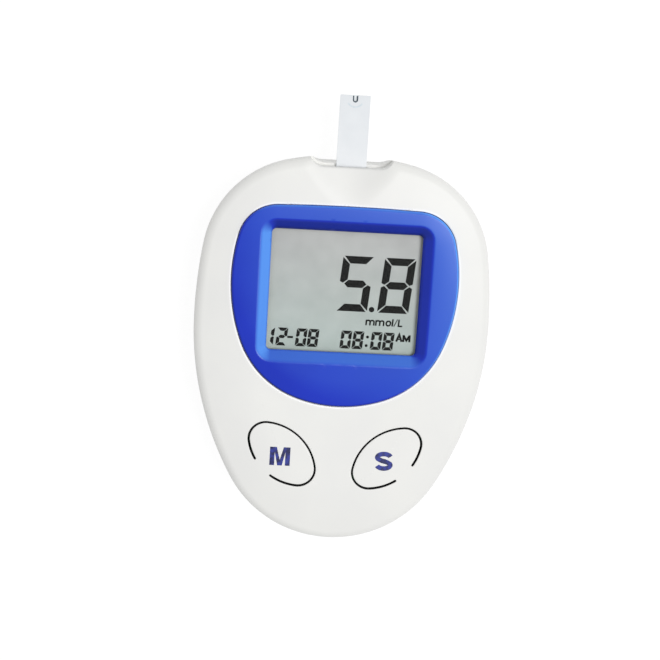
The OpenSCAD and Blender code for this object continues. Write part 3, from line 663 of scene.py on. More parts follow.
@dataclass(frozen=True)
class Moulded:
    """Injection-moulded plastic: faint mottle and fine tool texture, with painted highlight or
    painted shade mixed in by mark.
    """

    name: str
    colour: str
    shade: str
    roughness: float = 0.42
    grain_mm: float = 0.16
    grain_depth_mm: float = 0.004
    # Painted highlight colour and painted shade colour, mixed in where the mark is above or below
    # zero.
    edge: str = "#ffffff"
    hollow: str = "#808080"
    gloss: float = 0.5

    def build(self) -> bpy.types.Material:
        """Makes the material."""
        mottle_mm, drift = 14, 0.04
        mat = Recipe(self.name)
        grain = mat.noise(self.grain_mm)
        cloud = mat.ranged(mat.noise(mottle_mm, 3.0), 0.35, 0.65)
        # Painted light: a positive mark mixes in the painted highlight colour, a negative one the
        # painted shade colour.
        mark = mat.add("ShaderNodeAttribute", {}, "Fac", attribute_name="painted_light")
        tone = mat.mix(cloud, self.colour, self.shade)
        tone = mat.mix(mat.ranged(mark, 0.0, 1.0), tone, self.edge)
        tone = mat.mix(mat.ranged(mark, 0.0, -1.0), tone, self.hollow)
        rough = mat.ranged(grain, *NOISE_SPAN, self.roughness - drift, self.roughness + drift)
        return mat.shaded("ShaderNodeBsdfPrincipled", {
            "Base Color": tone, "Roughness": rough, "IOR": 1.5, "Specular IOR Level": self.gloss,
            "Normal": mat.bump(grain, 0.5, self.grain_depth_mm)})


@dataclass(frozen=True)
class Metal:
    """Rolled, plated or turned metal with fine lines along one axis."""

    name: str
    colour: str
    shade: str
    roughness: float = 0.3
    line_mm: float = 0.12
    stretch: tuple = (1.0, 0.06, 1.0)

    def build(self) -> bpy.types.Material:
        """Makes the material."""
        mat = Recipe(self.name)
        scaled = mat.add("ShaderNodeMapping", {"Vector": mat.where, "Scale": self.stretch})
        lines = mat.noise(self.line_mm, 3.0, scaled)
        rough = mat.ranged(lines, *NOISE_SPAN, self.roughness - 0.06, self.roughness + 0.08)
        return mat.shaded("ShaderNodeBsdfPrincipled", {
            "Base Color": mat.mix(lines, self.shade, self.colour), "Metallic": 1.0,
            "Roughness": rough, "Normal": mat.bump(lines, 0.35, 0.003)})


@dataclass(frozen=True)
class Clear:
    """Clear sheet: passes light straight through and reflects at grazing angles."""

    name: str
    tint: str
    strength: float = 1.0
    roughness: float = 0.03

    def build(self) -> bpy.types.Material:
        """Makes the material."""
        haze_mm, haze_depth, index = 3, 0.03, 1.49
        mat = Recipe(self.name)
        rough = mat.ranged(mat.noise(haze_mm), *NOISE_SPAN, self.roughness,
                           self.roughness + haze_depth)
        bounce = mat.add("ShaderNodeFresnel", {"IOR": index})
        return mat.shaded("ShaderNodeMixShader", {
            0: mat.combine("MULTIPLY", bounce, self.strength),
            1: mat.add("ShaderNodeBsdfTransparent", {"Color": linear(self.tint)}),
            2: mat.add("ShaderNodeBsdfGlossy", {"Roughness": rough})})


@dataclass(frozen=True)
class Film:
    """Printed or coated film whose tone drifts along the meter's length, with a fine tooth."""

    name: str
    low: str
    high: str
    low_y: float
    high_y: float
    roughness: float = 0.5
    tooth_mm: float = 0.1

    def build(self) -> bpy.types.Material:
        """Makes the material."""
        cloud_mm, cloud_share = 5, 0.12
        mat = Recipe(self.name)
        y = mat.add("ShaderNodeSeparateXYZ", {0: mat.where}, 1)
        tone = mat.mix(mat.ranged(y, self.low_y * MM, self.high_y * MM), self.low, self.high)
        cloud = mat.ranged(mat.noise(cloud_mm), *NOISE_SPAN, 0.0, cloud_share)
        return mat.shaded("ShaderNodeBsdfPrincipled", {
            "Base Color": mat.mix(cloud, tone, "#ffffff"), "Roughness": self.roughness,
            "Normal": mat.bump(mat.noise(self.tooth_mm), 0.3, 0.002)})


@dataclass(frozen=True)
class Ink:
    """Pad-printed or liquid-crystal ink, slightly uneven."""

    name: str
    core: str
    rim: str
    patch_mm: float = 0.8
    roughness: float = 0.45
    gloss: float = 0.5

    def build(self) -> bpy.types.Material:
        """Makes the material."""
        mat = Recipe(self.name)
        patch = mat.ranged(mat.noise(self.patch_mm, 1.0), 0.4, 0.6)
        return mat.shaded("ShaderNodeBsdfPrincipled", {
            "Base Color": mat.mix(patch, self.rim, self.core), "Roughness": self.roughness,
            "Specular IOR Level": self.gloss})


@dataclass(frozen=True)
class Banded:
    """Layers or traces: two colours in bands along one axis."""

    name: str
    first: str
    second: str
    band_mm: float
    axis: str = "X"
    share: float = 0.5
    bend: float = 0.0
    roughness: float = 0.5

    def build(self) -> bpy.types.Material:
        """Makes the material."""
        wave_unit, soft = 0.314159, 0.05
        mat = Recipe(self.name)
        wave = mat.add("ShaderNodeTexWave", {
            "Vector": mat.where, "Scale": wave_unit / (self.band_mm * MM),
            "Distortion": self.bend, "Detail": 0.0}, "Fac", bands_direction=self.axis)
        band = mat.ranged(wave, self.share - soft, self.share + soft)
        return mat.shaded("ShaderNodeBsdfPrincipled", {
            "Base Color": mat.mix(band, self.first, self.second), "Roughness": self.roughness,
            "Normal": mat.bump(wave, 0.4, 0.01)})


FINISHES = {
    # Satin white ABS with a light spark-eroded texture, and a white painted highlight by mark along
    # the bezel recess
    "white_abs": Moulded("white_abs_spark_textured", "#e2e2df", "#dfdfdd", 0.46),
    # Walls of the key slots: painted shade, dark because little light reaches them
    "slot_wall": Moulded("abs_slot_wall_painted_shade", "#1b1b1d", "#242426", 0.7),
    # Rear half, a touch coarser
    "rear_abs": Moulded("rear_abs_spark_textured", "#dcdcd9", "#d8d8d5", 0.52, 0.22, 0.006),
    # Glossy blue ABS from a polished tool, with a light blue painted highlight and a dark navy
    # painted shade by slope
    "blue_abs": Moulded("blue_abs_polished_mould", "#1f36ba", "#1d33b4", 0.24, 0.09, 0.0003,
                        "#62a6fb", "#0a1230", 0.2),
    # Hard-coated cast acrylic window
    "lens_acrylic": Clear("cast_acrylic_hard_coat", "#fbfcfb", 0.35),
    # Anti-glare polariser over the display
    "polariser_film": Film("polariser_anti_glare", "#b6c1bf", "#bcbabc", 0.0, 27.0, 0.55, 0.06),
    "display_glass": Clear("float_glass_ground_edge", "#e6f0ec", 1.0),
    "reflector_film": Film("reflector_foil_matt", "#aeb6b0", "#b2bab4", 0.0, 27.0, 0.4),
    "carrier_plastic": Moulded("nylon_carrier_moulded", "#e6e9e6", "#dfe3df", 0.5),
    "striped_rubber": Banded("silicone_connector_layered", "#e0a0b0", "#3c3034", 0.18),
    "board_laminate": Banded("solder_mask_over_copper", "#1f6a43", "#2a8152", 0.9, "Y", 0.75, 4.0,
                             0.35),
    "chip_resin": Moulded("epoxy_chip_package", "#232326", "#2a2a2c", 0.6, 0.1, 0.006),
    "plated_can": Metal("nickel_plated_can", "#d4d6d8", "#b9bcbf", 0.25),
    "ceramic_chip": Banded("sintered_ceramic_tinned_ends", "#b08f62", "#c9c9c6", 0.8, "X", 0.6),
    "black_plastic": Moulded("black_nylon_moulded", "#1d1d20", "#242427", 0.5),
    "port_plastic": Moulded("liquid_crystal_polymer_moulded", "#eeeeea", "#e6e6e2", 0.5),
    "gold_spring": Metal("gold_plated_spring_bronze", "#e3c06c", "#c79f4c", 0.25),
    "cell_steel": Metal("nickel_plated_pressed_steel", "#d6d8da", "#bfc2c5", 0.22, 0.2),
    "plated_spring": Metal("tin_plated_spring_steel", "#cfcbbd", "#b4b0a3", 0.32),
    "screw_steel": Metal("zinc_plated_steel_turned", "#b4b7bb", "#8f9296", 0.35),
    "label_film": Film("polyester_label_matt", "#d4d6d8", "#dadcde", 8.0, 26.0, 0.55),
    "plunger_plastic": Moulded("acetal_turned_ivory", "#e6e3da", "#dedbd2", 0.4),
    "strip_film": Film("polyester_strip_base", "#e4e9ec", "#dde3e6", 42.0, 57.0, 0.45),
    "carbon_ink": Ink("carbon_ink_screen_printed", "#3a3d40", "#2c2e31"),
    "strip_spacer_film": Film("adhesive_spacer_film", "#dfe6ea", "#d9e0e4", 42.0, 57.0, 0.5),
    "strip_cover_film": Film("hydrophilic_cover_film", "#dbdee1", "#d1d5d9", 42.0, 57.0, 0.35),
    # Pad-printed navy key letters
    "navy_ink": Ink("pad_printed_navy_ink", "#24318c", "#10164f", 1.1),
    # Switched-on liquid crystal
    "crystal_ink": Ink("liquid_crystal_switched_on", "#070808", "#040505", 2.0, 0.5, 0.1),
    # Dried reagent at the strip's tip
    "reagent_ink": Ink("dried_reagent_print", "#2e4250", "#223340", 0.3),
    # Faint arc of painted shade where the channel lies under the cover
    "channel_painted_shade": Ink("strip_channel_shadow", "#cdd6dc", "#c4ced5", 0.5),
}


# ---- Pieces --------------------------------------------------------------------------------


def add_object(name: str, data: bpy.types.ID) -> bpy.types.Object:
    """New object in the scene that holds a mesh, a light or a camera."""
    obj = bpy.data.objects.new(name, data)
    bpy.context.scene.collection.objects.link(obj)
    return obj


@dataclass
class Workshop:
    """Turns sheets into Blender objects and keeps the materials."""

    materials: dict = field(default_factory=dict)
    made: list = field(default_factory=list)

    def material(self, key: str) -> bpy.types.Material:
        """The material of a finish, made on first use."""
        if key not in self.materials:
            self.materials[key] = FINISHES[key].build()
        return self.materials[key]

    def piece(self, name: str, sheet: Sheet, finishes: tuple, body: Body,
              replaces: tuple = (), sharp: float = 42.0) -> None:
        """Makes one object, riding on its body.

        Args:
            name: object name.
            sheet: its surface in millimetres.
            finishes: finish keys in the order of the faces' material indices.
            body: the body it rides on.
            replaces: CAD nodes it stands for.
            sharp: crease angle in degrees above which an edge is sharp.
        """
        mesh = bpy.data.meshes.new(name)
        mesh.from_pydata((sheet.points * MM).tolist(), [], sheet.faces.tolist())
        mesh.polygons.foreach_set("material_index", sheet.slots.astype(np.int32))
        # Painted light: each point's mark mixes a painted highlight or painted shade colour into
        # its material.
        mark = mesh.attributes.new("painted_light", "FLOAT", "POINT")
        mark.data.foreach_set("value", sheet.marks.astype(np.float32))
        mesh.shade_smooth()
        mesh.set_sharp_from_angle(angle=math.radians(sharp))
        mesh.update()
        obj = add_object(name, mesh)
        for key in finishes:
            mesh.materials.append(self.material(key))
        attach(obj, body.value)
        if replaces:
            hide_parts(*replaces)
        self.made.append(name)
        LOG.info("%s: %d points, %d faces", name, len(sheet.points), len(sheet.faces))


@dataclass(frozen=True)
class FrontHousing:
    """White front half: crowned egg-shaped face, scoop, key slots and bezel recess."""

    case: CaseForm
    scoop: ScoopForm
    button: ButtonForm
    bezel: BezelForm
    step: float = 0.8
    lip_z: float = 13.05
    slot_low_z: float = 13.15
    slot_high_z: float = 14.1
    slot_half_w: float = 3.55

    def height(self, xy: np.ndarray) -> np.ndarray:
        """Face height: the crowned section over the depth in from the outline, scooped."""
        return soft_min(self.case.height(BODY.depth(xy)), self.scoop.height(xy), self.scoop.blend)

    def notch_line(self, x: np.ndarray, low_y: float) -> np.ndarray:
        """Line of the notch: straight across at low_y, with a rounded corner at each side."""
        r = self.scoop.notch_r
        past = np.clip(np.abs(x) - (self.scoop.notch_half_w - r), 0, None)
        return low_y + r - np.sqrt(np.clip(r * r - past * past, 0, None))

    @property
    def top(self) -> tuple:
        """Centre and radius of the outline's arc across the strip end."""
        index = 2
        return BODY.centres[index], BODY.radii[index]

    @property
    def mouth_x(self) -> float:
        """Half width at which the notch's corners meet the outline."""
        s = self.scoop
        corner = np.array([s.notch_half_w - s.notch_r, s.rim_y + s.notch_r])
        return float(crossing(*self.top, corner, s.notch_r)[0])

    def rim(self) -> Trace:
        """Outline outside the notch as a trace from its left end round to its right end."""
        trace = BODY.trace(self.step)
        at = trace.at(0.0)
        spare = 0.3
        mouth = (np.abs(at[:, 0]) < self.mouth_x + spare) & (at[:, 1] > 0)
        first, last = np.flatnonzero(mouth)[[0, -1]]
        order = np.concatenate([np.arange(last + 1, len(at)), np.arange(first)])
        c, r = self.top
        turn = math.asin(self.mouth_x / r)
        ends = np.array([math.pi / 2 + turn, math.pi / 2 - turn])
        body = trace.pick(order)
        return Trace(np.concatenate([c[None], body.centres, c[None]]),
                     np.concatenate([[r], body.radii, [r]]),
                     np.concatenate([ends[:1], body.angles, ends[1:]]))

    def notch(self, grow: float = 0.0) -> np.ndarray:
        """Points along the rim's notch from right to left, set off into the face by grow."""
        s, corner_n, flat_n = self.scoop, 14, 33
        bend = s.notch_half_w - s.notch_r
        turn = np.linspace(0, math.asin((self.mouth_x - bend) / s.notch_r), corner_n)[:-1]
        flat = np.unique(np.concatenate([np.linspace(-bend, bend, flat_n)[1:-1],
                                         [-self.slot_half_w, self.slot_half_w]]))
        r = s.notch_r + grow
        corner = np.column_stack([bend + r * np.sin(turn), s.notch_r - r * np.cos(turn)])
        straight = np.column_stack([flat, np.full(len(flat), -grow)])
        line = np.concatenate([corner[::-1] * [-1, 1], straight, corner])
        return (line + [0.0, s.rim_y])[::-1]

    def sheet(self) -> Sheet:
        """Builds the face, its side, the notch, the recess and slot walls."""
        rim, notch, edge = self.rim(), self.notch(), self.scoop.rim_round
        fade_x, near = 2.0, 0.025
        fade = np.clip((self.mouth_x - np.abs(notch[:, 0])) / fade_x, 0, 1)
        edge_drop = np.concatenate([np.zeros(len(rim.angles)), edge * fade])
        drawing = Drawing(np.concatenate([rim.at(0.0), notch]), edge_drop)
        trace, gap, ease = BEZEL.trace(self.step), self.bezel.gap, self.bezel.recess_round
        recess = trace.at(-gap)
        drawing.cut(recess, np.full(len(recess), ease))
        slots = [self.button.slot(side, 1) for side in Side]
        for slot in slots:
            drawing.cut(slot.line(), slot.drop)
        for distance in (0.04, 0.11, 0.2, 0.3):
            drawing.add(self.notch(distance), roll_off(distance, edge) * fade)
        for distance in (0.05, 0.12, 0.2, 0.28, 0.5, 0.9):
            drawing.add(trace.at(-gap - distance), roll_off(distance, ease))
        for slot in slots:
            slot.add_rings(drawing)
        for angle in (9, 18, 27, 36, 45, 54, 63, 72, 80):
            drawing.add(rim.at(self.case.edge_r * (1 - math.cos(math.radians(angle)))), 0.0, near)
        for inset in (2.4, 2.9, 3.5, 4.2):
            drawing.add(rim.at(inset), 0.0, 0.2)
        drawing.add_grid(0.4, (-14.0, 31.5), (14.0, 45.0))
        drawing.add_grid(1.3, (-34.0, -46.0), (34.0, 45.0))
        face = drawing.sheet(self.height)
        # Painted highlight along the bezel recess's rounded edge
        face.marks = self.painted_recess_highlight(face.points)
        walls = [self.side(rim), self.mouth(rim, notch, edge_drop[-len(notch):]),
                 skirt(recess, self.height(recess) - ease, self.bezel.seat_z, flip=True)]
        return Sheet.welded([face] + walls + [slot.wall(self.height) for slot in slots])

    def painted_recess_highlight(self, points: np.ndarray) -> np.ndarray:
        """Painted highlight: marks of a light line along the recess's rounded edge, on the top face
        only.
        """
        width, low_z, most = 0.4, 18, 0.9
        past = np.abs(-BEZEL.depth(points[:, :2]) - self.bezel.recess_round)
        return np.clip(1 - past / width, 0, 1) * (points[:, 2] > low_z) * most

    def levels(self) -> list:
        """Heights of the side's rows, from the widest line down to the parting line."""
        return [self.case.equator_z, self.slot_high_z, self.slot_low_z, self.lip_z, 12.2, 11.2,
                10.2, self.case.split_z + self.case.chamfer_h]

    def side(self, rim: Trace) -> Sheet:
        """Side below the widest line along a quarter ellipse, chamfered at the parting line."""
        rows = [lifted(rim.at(self.case.side_inset(z)), z) for z in self.levels()]
        z = self.case.split_z
        rows += [lifted(rim.at(self.case.side_inset(z) + more), z)
                 for more in (self.case.chamfer, self.case.land)]
        return Sheet.strip(rows, closed=False)

    def mouth(self, rim: Trace, notch: np.ndarray, drop: np.ndarray) -> Sheet:
        """End wall in the notch: the wall over the strip's slot, the lip below, and its wall."""

        def row(line: np.ndarray, z: float | np.ndarray, inset: float) -> np.ndarray:
            """One row of the wall, from the rim's end on the right to that on the left."""
            ends = rim.at(inset)[[-1, 0]]
            return lifted(np.concatenate([ends[:1], line, ends[1:]]), z)

        top = np.concatenate([[self.case.equator_z], self.height(notch) - drop,
                              [self.case.equator_z]])
        inset = self.case.side_inset
        rows = [row(notch, top, 0.0)]
        rows += [row(notch, z, inset(z)) for z in (self.slot_high_z, self.slot_low_z, self.lip_z)]
        x = np.concatenate([[self.mouth_x], notch[:, 0], [-self.mouth_x]])
        in_slot = (np.abs(x[:-1] + x[1:]) / 2 < self.slot_half_w)
        parts = [Sheet.strip(rows[:2], closed=False),
                 Sheet.strip(rows[1:3], closed=False, keep=~in_slot),
                 Sheet.strip(rows[2:4], closed=False)]
        lip = np.column_stack([notch[:, 0], self.notch_line(notch[:, 0], self.scoop.lip_y)])
        lower = [rows[3]]
        c, r = self.top
        for z in self.levels()[3:] + [self.case.split_z]:
            draw = inset(z) + (self.case.chamfer if z == self.case.split_z else 0.0)
            wall = c[1] + np.sqrt((r - draw) ** 2 - lip[:, 0] ** 2)
            lower.append(row(np.column_stack([lip[:, 0], np.minimum(lip[:, 1], wall)]), z, draw))
        parts.append(Sheet.strip(lower, closed=False))
        return Sheet.welded(parts)

    def build(self, shop: Workshop) -> None:
        """Adds the piece to the scene."""
        shop.piece("front_shell", self.sheet(), ("white_abs", "slot_wall"), Body.CASE,
                   ("front_housing",))


@dataclass(frozen=True)
class Glyph:
    """Flat lettering made of filled polygons, each an ordered (n, 2) outline in millimetres."""

    shapes: tuple

    def moved(self, x: float, y: float, slant: float = 0.0) -> "Glyph":
        """The lettering leaned over by slant and shifted."""
        return Glyph(tuple(np.column_stack([s[:, 0] + slant * s[:, 1] + x, s[:, 1] + y])
                           for s in self.shapes))

    def sheet(self, height) -> Sheet:
        """The shapes triangulated and lifted to a surface."""
        return Sheet.welded([Drawing(shape, np.zeros(len(shape))).sheet(height)
                             for shape in self.shapes])

    def flat(self, z: float) -> Sheet:
        """The shapes at one height."""
        return self.sheet(lambda xy: np.full(len(xy), z))

    @staticmethod
    def join(glyphs: list) -> "Glyph":
        """One glyph of all the shapes."""
        return Glyph(tuple(s for g in glyphs for s in g.shapes))


def stroke(points: list, width: float) -> np.ndarray:
    """Outline of an open line of even width, mitred where it bends."""
    p = np.array(points, float)
    d = np.diff(p, axis=0)
    d /= np.hypot(*d.T)[:, None]
    n = np.column_stack([-d[:, 1], d[:, 0]])
    before, after = np.vstack([n[:1], n]), np.vstack([n, n[-1:]])
    miter = before + after
    miter /= (miter * before).sum(1)[:, None]
    left, right = p + miter * width / 2, p - miter * width / 2
    return np.concatenate([right, left[::-1]])


@dataclass(frozen=True)
class Segments:
    """Seven-segment figures."""

    w: float
    h: float
    t: float
    gap: float
    slant: float = 0.085

    LIT = {"0": "ABCDEF", "1": "BC", "2": "ABGED", "5": "AFGCD", "8": "ABCDEFG", "-": "G"}

    def figure(self, mark: str, x: float, y: float) -> Glyph:
        """One figure with its lower left corner at a point."""
        w, h, t, g = self.w, self.h, self.t, self.gap
        m, c = h / 2, t * 0.05
        top = np.array([(c + g, h), (t + g * 0.4, h - t), (w - t - g * 0.4, h - t), (w - c - g, h)])
        left = np.array([(0, h - c - g), (0, m + g + t * 0.18), (t * 0.42, m + g * 0.75),
                         (t, m + t / 2 + g * 0.5), (t, h - t - g * 0.9)])
        bar = np.array([(t / 2 + g * 0.9, m), (t + g, m - t / 2), (w - t - g, m - t / 2),
                        (w - t / 2 - g * 0.9, m), (w - t - g, m + t / 2), (t + g, m + t / 2)])
        over, back = np.array([1, -1]), np.array([-1, 1])
        parts = {
            "A": top,
            "F": left,
            "B": (left * back + [w, 0])[::-1],
            "G": bar,
            "E": (left * over + [0, h])[::-1],
            "C": left * -1 + [w, h],
            "D": (top * over + [0, h])[::-1],
        }
        return Glyph(tuple(parts[k] for k in self.LIT[mark])).moved(x, y, self.slant)


@dataclass(frozen=True)
class Display:
    """Figures of the liquid-crystal display."""

    z: float = 15.705
    parallax: tuple = (0.08, -0.13)

    def glyph(self) -> Glyph:
        """Reading, date, time and units, in the places the photograph shows."""
        big, small = Segments(7.1, 12.65, 1.7, 0.19), Segments(2.42, 4.15, 0.76, 0.06)
        disc = unit(np.linspace(0, 2 * np.pi, 24, endpoint=False))
        parts = [big.figure("5", -1.72, 9.5), big.figure("8", 7.66, 9.5),
                 Glyph((disc * 0.62 + [6.42, 10.12],))]
        date = (("1", -17.85), ("2", -14.88), ("0", -10.48), ("8", -7.8))
        time = (("0", -0.35), ("8", 2.4), ("0", 6.55), ("8", 9.3))
        parts += [small.figure(mark, x, 0.85) for mark, x in date + time]
        parts.append(Glyph((stroke([(-12.25, 2.9), (-10.95, 2.9)], 0.5),)))
        parts += [Glyph((disc * 0.34 + [5.6 + 0.085 * y, y],)) for y in (1.75, 3.75)]
        parts += [self.units(), self.noon()]
        return Glyph.join(parts).moved(*self.parallax)

    def units(self) -> Glyph:
        """Concentration unit in plain strokes."""
        pen, x_h, cap = 0.36, 1.25, 1.62

        def hump(x: float) -> np.ndarray:
            """One arch of the m, from x to its right foot."""
            t = np.linspace(np.pi, 0, 9)
            arch = np.column_stack([x + 0.42 + 0.42 * np.cos(t), x_h - 0.5 + 0.38 * np.sin(t)])
            return stroke(arch.tolist() + [(x + 0.84, 0.0)], pen)

        shapes = []
        for x in (0.12, 2.25):
            shapes += [stroke([(x, 0), (x, x_h)], pen), hump(x), hump(x + 0.84)]
        t = np.linspace(0.5 * np.pi, 2.5 * np.pi, 25)
        ring = np.column_stack([4.95 + 0.47 * np.cos(t), x_h / 2 + 0.52 * np.sin(t)])
        shapes += [stroke(ring[:13].tolist(), pen), stroke(ring[12:].tolist(), pen)]
        shapes += [stroke([(5.85, 0), (5.85, cap)], pen), stroke([(6.2, 0), (6.85, cap)], 0.2)]
        shapes += [stroke([(7.2, cap), (7.2, 0.12), (8.05, 0.12)], pen)]
        return Glyph(tuple(shape * 1.04 for shape in shapes)).moved(5.25, 6.46, 0.06)

    def noon(self) -> Glyph:
        """Half-of-day mark."""
        pen, cap = 0.48, 1.62
        shapes = (stroke([(0.1, 0), (0.72, cap), (1.34, 0)], pen),
                  stroke([(0.4, 0.55), (1.04, 0.55)], 0.26),
                  stroke([(1.72, 0), (1.72, cap)], pen), stroke([(3.1, 0), (3.1, cap)], pen),
                  stroke([(1.72, cap - 0.1), (2.41, 0.35), (3.1, cap - 0.1)], pen))
        return Glyph(shapes).moved(12.38, 3.0)

    def build(self, shop: Workshop) -> None:
        """Adds the figures just over the polariser."""
        shop.piece("display_figures", self.glyph().flat(self.z), ("crystal_ink",), Body.CASE)


@dataclass(frozen=True)
class Bezel:
    """Blue surround: rounded rim, slightly domed band and a bevel down to the window."""

    form: BezelForm

    def bevel(self, xy: np.ndarray) -> np.ndarray:
        """Height of the bevel: its rise times the distance outside the rounded window."""
        f = self.form
        half = np.array([f.window_w, f.window_l]) / 2 - f.window_r
        past = np.abs(xy - [0.0, f.window_y]) - half
        over = np.hypot(*np.clip(past, 0, None).T) - f.window_r
        rise = f.top_z - f.window_z + f.bevel_over
        return f.window_z + np.clip(over, 0, None) * rise / f.bevel_w

    def height(self, xy: np.ndarray) -> np.ndarray:
        """Domed band with a rounded rim, cut by the bevel."""
        f = self.form
        depth = np.clip(BEZEL.depth(xy), 0, None)
        rim = np.sqrt(np.clip(f.rim_r ** 2 - np.clip(f.rim_r - depth, 0, None) ** 2, 0, None))
        dome = f.dome * np.clip(1 - depth / f.dome_w, 0, 1) ** 2
        return soft_min(f.top_z - f.rim_r + rim - dome, self.bevel(xy), f.blend)

    def tone(self, xy: np.ndarray) -> np.ndarray:
        """Painted highlight and painted shade on the blue by slope: lighter where it faces +X or
        +Y, toward the light, darker where it doesn't.

        Takes the unit normal from height differences over a short reach, weighs its two flat
        parts apart for each direction, adds a faint drift lighter toward +X and +Y, and paints
        shade along the bevel's foot by the window.
        """
        reach, base, share, mid_y, half_l, half_w, foot = 0.02, 0.09, 0.07, 2, 30, 25, 0.5
        step = np.array([[reach, 0.0], [0.0, reach]])
        fall = np.stack([self.height(xy - d) - self.height(xy + d) for d in step], -1) / (2 * reach)
        normal = fall / np.sqrt(1 + (fall ** 2).sum(1))[:, None]
        up, down = np.clip(normal, 0, None), np.clip(-normal, 0, None)
        # Painted light: the band grows lighter toward +X and +Y, where the light comes from
        drift = base + share * (xy[:, 1] - mid_y) / half_l + share * xy[:, 0] / half_w
        # Painted shade along the bevel's foot by the window, on the sides that face away from the
        # light
        low = np.clip(1 - (self.bevel(xy) - self.form.window_z) / foot, 0, 1)
        dark = down @ [0.5, 0.8] + low * (down @ [0.9, 0.9])
        return np.clip(drift + up @ [1.0, 0.4] - dark, -0.95, 0.9)

    def window(self, grow: float, r: float) -> np.ndarray:
        """Rounded rectangle round the window, counter-clockwise."""
        f, corner_deg, step = self.form, 15, 1.2
        w, l = f.window_w / 2 + grow - r, f.window_l / 2 + grow - r
        corners = np.array([[w, l], [-w, l], [-w, -l], [w, -l]])
        quarter = unit(np.radians(np.arange(0, 91, corner_deg)))
        turn = [np.array([[1, 0], [0, 1]]), np.array([[0, 1], [-1, 0]]),
                np.array([[-1, 0], [0, -1]]), np.array([[0, -1], [1, 0]])]
        loop = np.concatenate([c + r * quarter @ t for c, t in zip(corners, turn)])
        nxt = np.roll(loop, -1, axis=0)
        steps = np.maximum(np.ceil(np.hypot(*(nxt - loop).T) / step).astype(int), 1)
        share = np.concatenate([np.arange(n) / n for n in steps])
        index = np.repeat(np.arange(len(loop)), steps)
        points = loop[index] + (nxt - loop)[index] * share[:, None]
        return points + np.array([0.0, f.window_y])

    def sheet(self) -> Sheet:
        """Builds the band, the bevel and both walls."""
        f = self.form
        trace = BEZEL.trace(0.7)
        outer, hole = trace.at(0.0), self.window(0.0, f.window_r)
        drawing = Drawing(outer, np.zeros(len(outer)))
        drawing.cut(hole, np.zeros(len(hole)))
        for inset in (0.02, 0.07, 0.15, 0.25, 0.37, 0.5, 0.8):
            drawing.add(trace.at(inset))
        for grow in (0.35, 0.8, 1.2, 1.6, 1.85, 2.0, 2.1, 2.2, 2.3, 2.4, 2.5, 2.65, 2.85, 3.1):
            drawing.add(self.window(grow, f.window_r + grow), 0.0, 0.03)
        drawing.add_grid(1.0, (-27.0, -14.0), (27.0, 34.0))
        band = drawing.sheet(self.height)
        # Painted highlight and painted shade by slope, kept in the marks
        band.marks = self.tone(band.points[:, :2])
        return Sheet.welded([band, skirt(outer, self.height(outer), f.seat_z),
                             skirt(hole, self.height(hole), f.lens_z, flip=True)])

    def build(self, shop: Workshop) -> None:
        """Adds the piece to the scene."""
        shop.piece("bezel_surround", self.sheet(), ("blue_abs",), Body.CASE,
                   ("display_bezel",), 50.0)


@dataclass(frozen=True)
class Button:
    """Oval key cut from the front face, with its printed letter."""

    front: FrontHousing
    side: Side
    node: str
    body: Body
    letter: Glyph

    def sheet(self) -> Sheet:
        """Builds the key's face, which meets the housing at the neck, and its walls painted dark as
        shade.
        """
        slot = self.front.button.slot(self.side, -1)
        loop = slot.line()
        drawing = Drawing(loop, slot.drop)
        slot.add_rings(drawing)
        drawing.add_grid(1.1, tuple(loop.min(0)), tuple(loop.max(0)))
        return Sheet.welded([drawing.sheet(self.front.height), slot.wall(self.front.height)])

    def build(self, shop: Workshop) -> None:
        """Adds the key and its letter."""
        shop.piece(self.node + "_key", self.sheet(), ("white_abs", "slot_wall"), self.body,
                   (self.node,))
        ink = 0.02
        print_ = self.letter.sheet(lambda xy: self.front.height(xy) + ink)
        shop.piece(self.node + "_print", print_, ("navy_ink",), self.body)


def letter_m(w: float, h: float, x: float, y: float) -> Glyph:
    """Bold upright M centred on a point."""
    s, m, inner, dip = w * 0.235, w / 2, h * 0.74, h * 0.3
    foot, shoulder = s * 0.48, s * 1.4
    shape = np.array([(0, 0), (s, 0), (s, inner), (m - foot, 0), (m + foot, 0), (w - s, inner),
                      (w - s, 0), (w, 0), (w, h), (w - shoulder, h), (m, dip), (shoulder, h),
                      (0, h)])
    return Glyph((shape,)).moved(x - m, y - h / 2)


def letter_s(w: float, h: float, x: float, y: float, pen: float) -> Glyph:
    """Bold S centred on a point: two bowls swept by a pen of even width."""
    rx, ry = (w - pen) / 2, (h - pen) / 4
    upper, lower = np.radians(np.linspace(18, 262, 30)), np.radians(np.linspace(82, -162, 30))
    top = np.column_stack([rx * np.cos(upper), ry + ry * np.sin(upper)])
    low = np.column_stack([rx * np.cos(lower), -ry + ry * np.sin(lower)])
    line = np.concatenate([top, low])
    line[:, 1] -= 0.16 * line[:, 0] * np.exp(-(line[:, 1] / (0.6 * ry)) ** 2)
    return Glyph((stroke(line.tolist(), pen),)).moved(x, y)


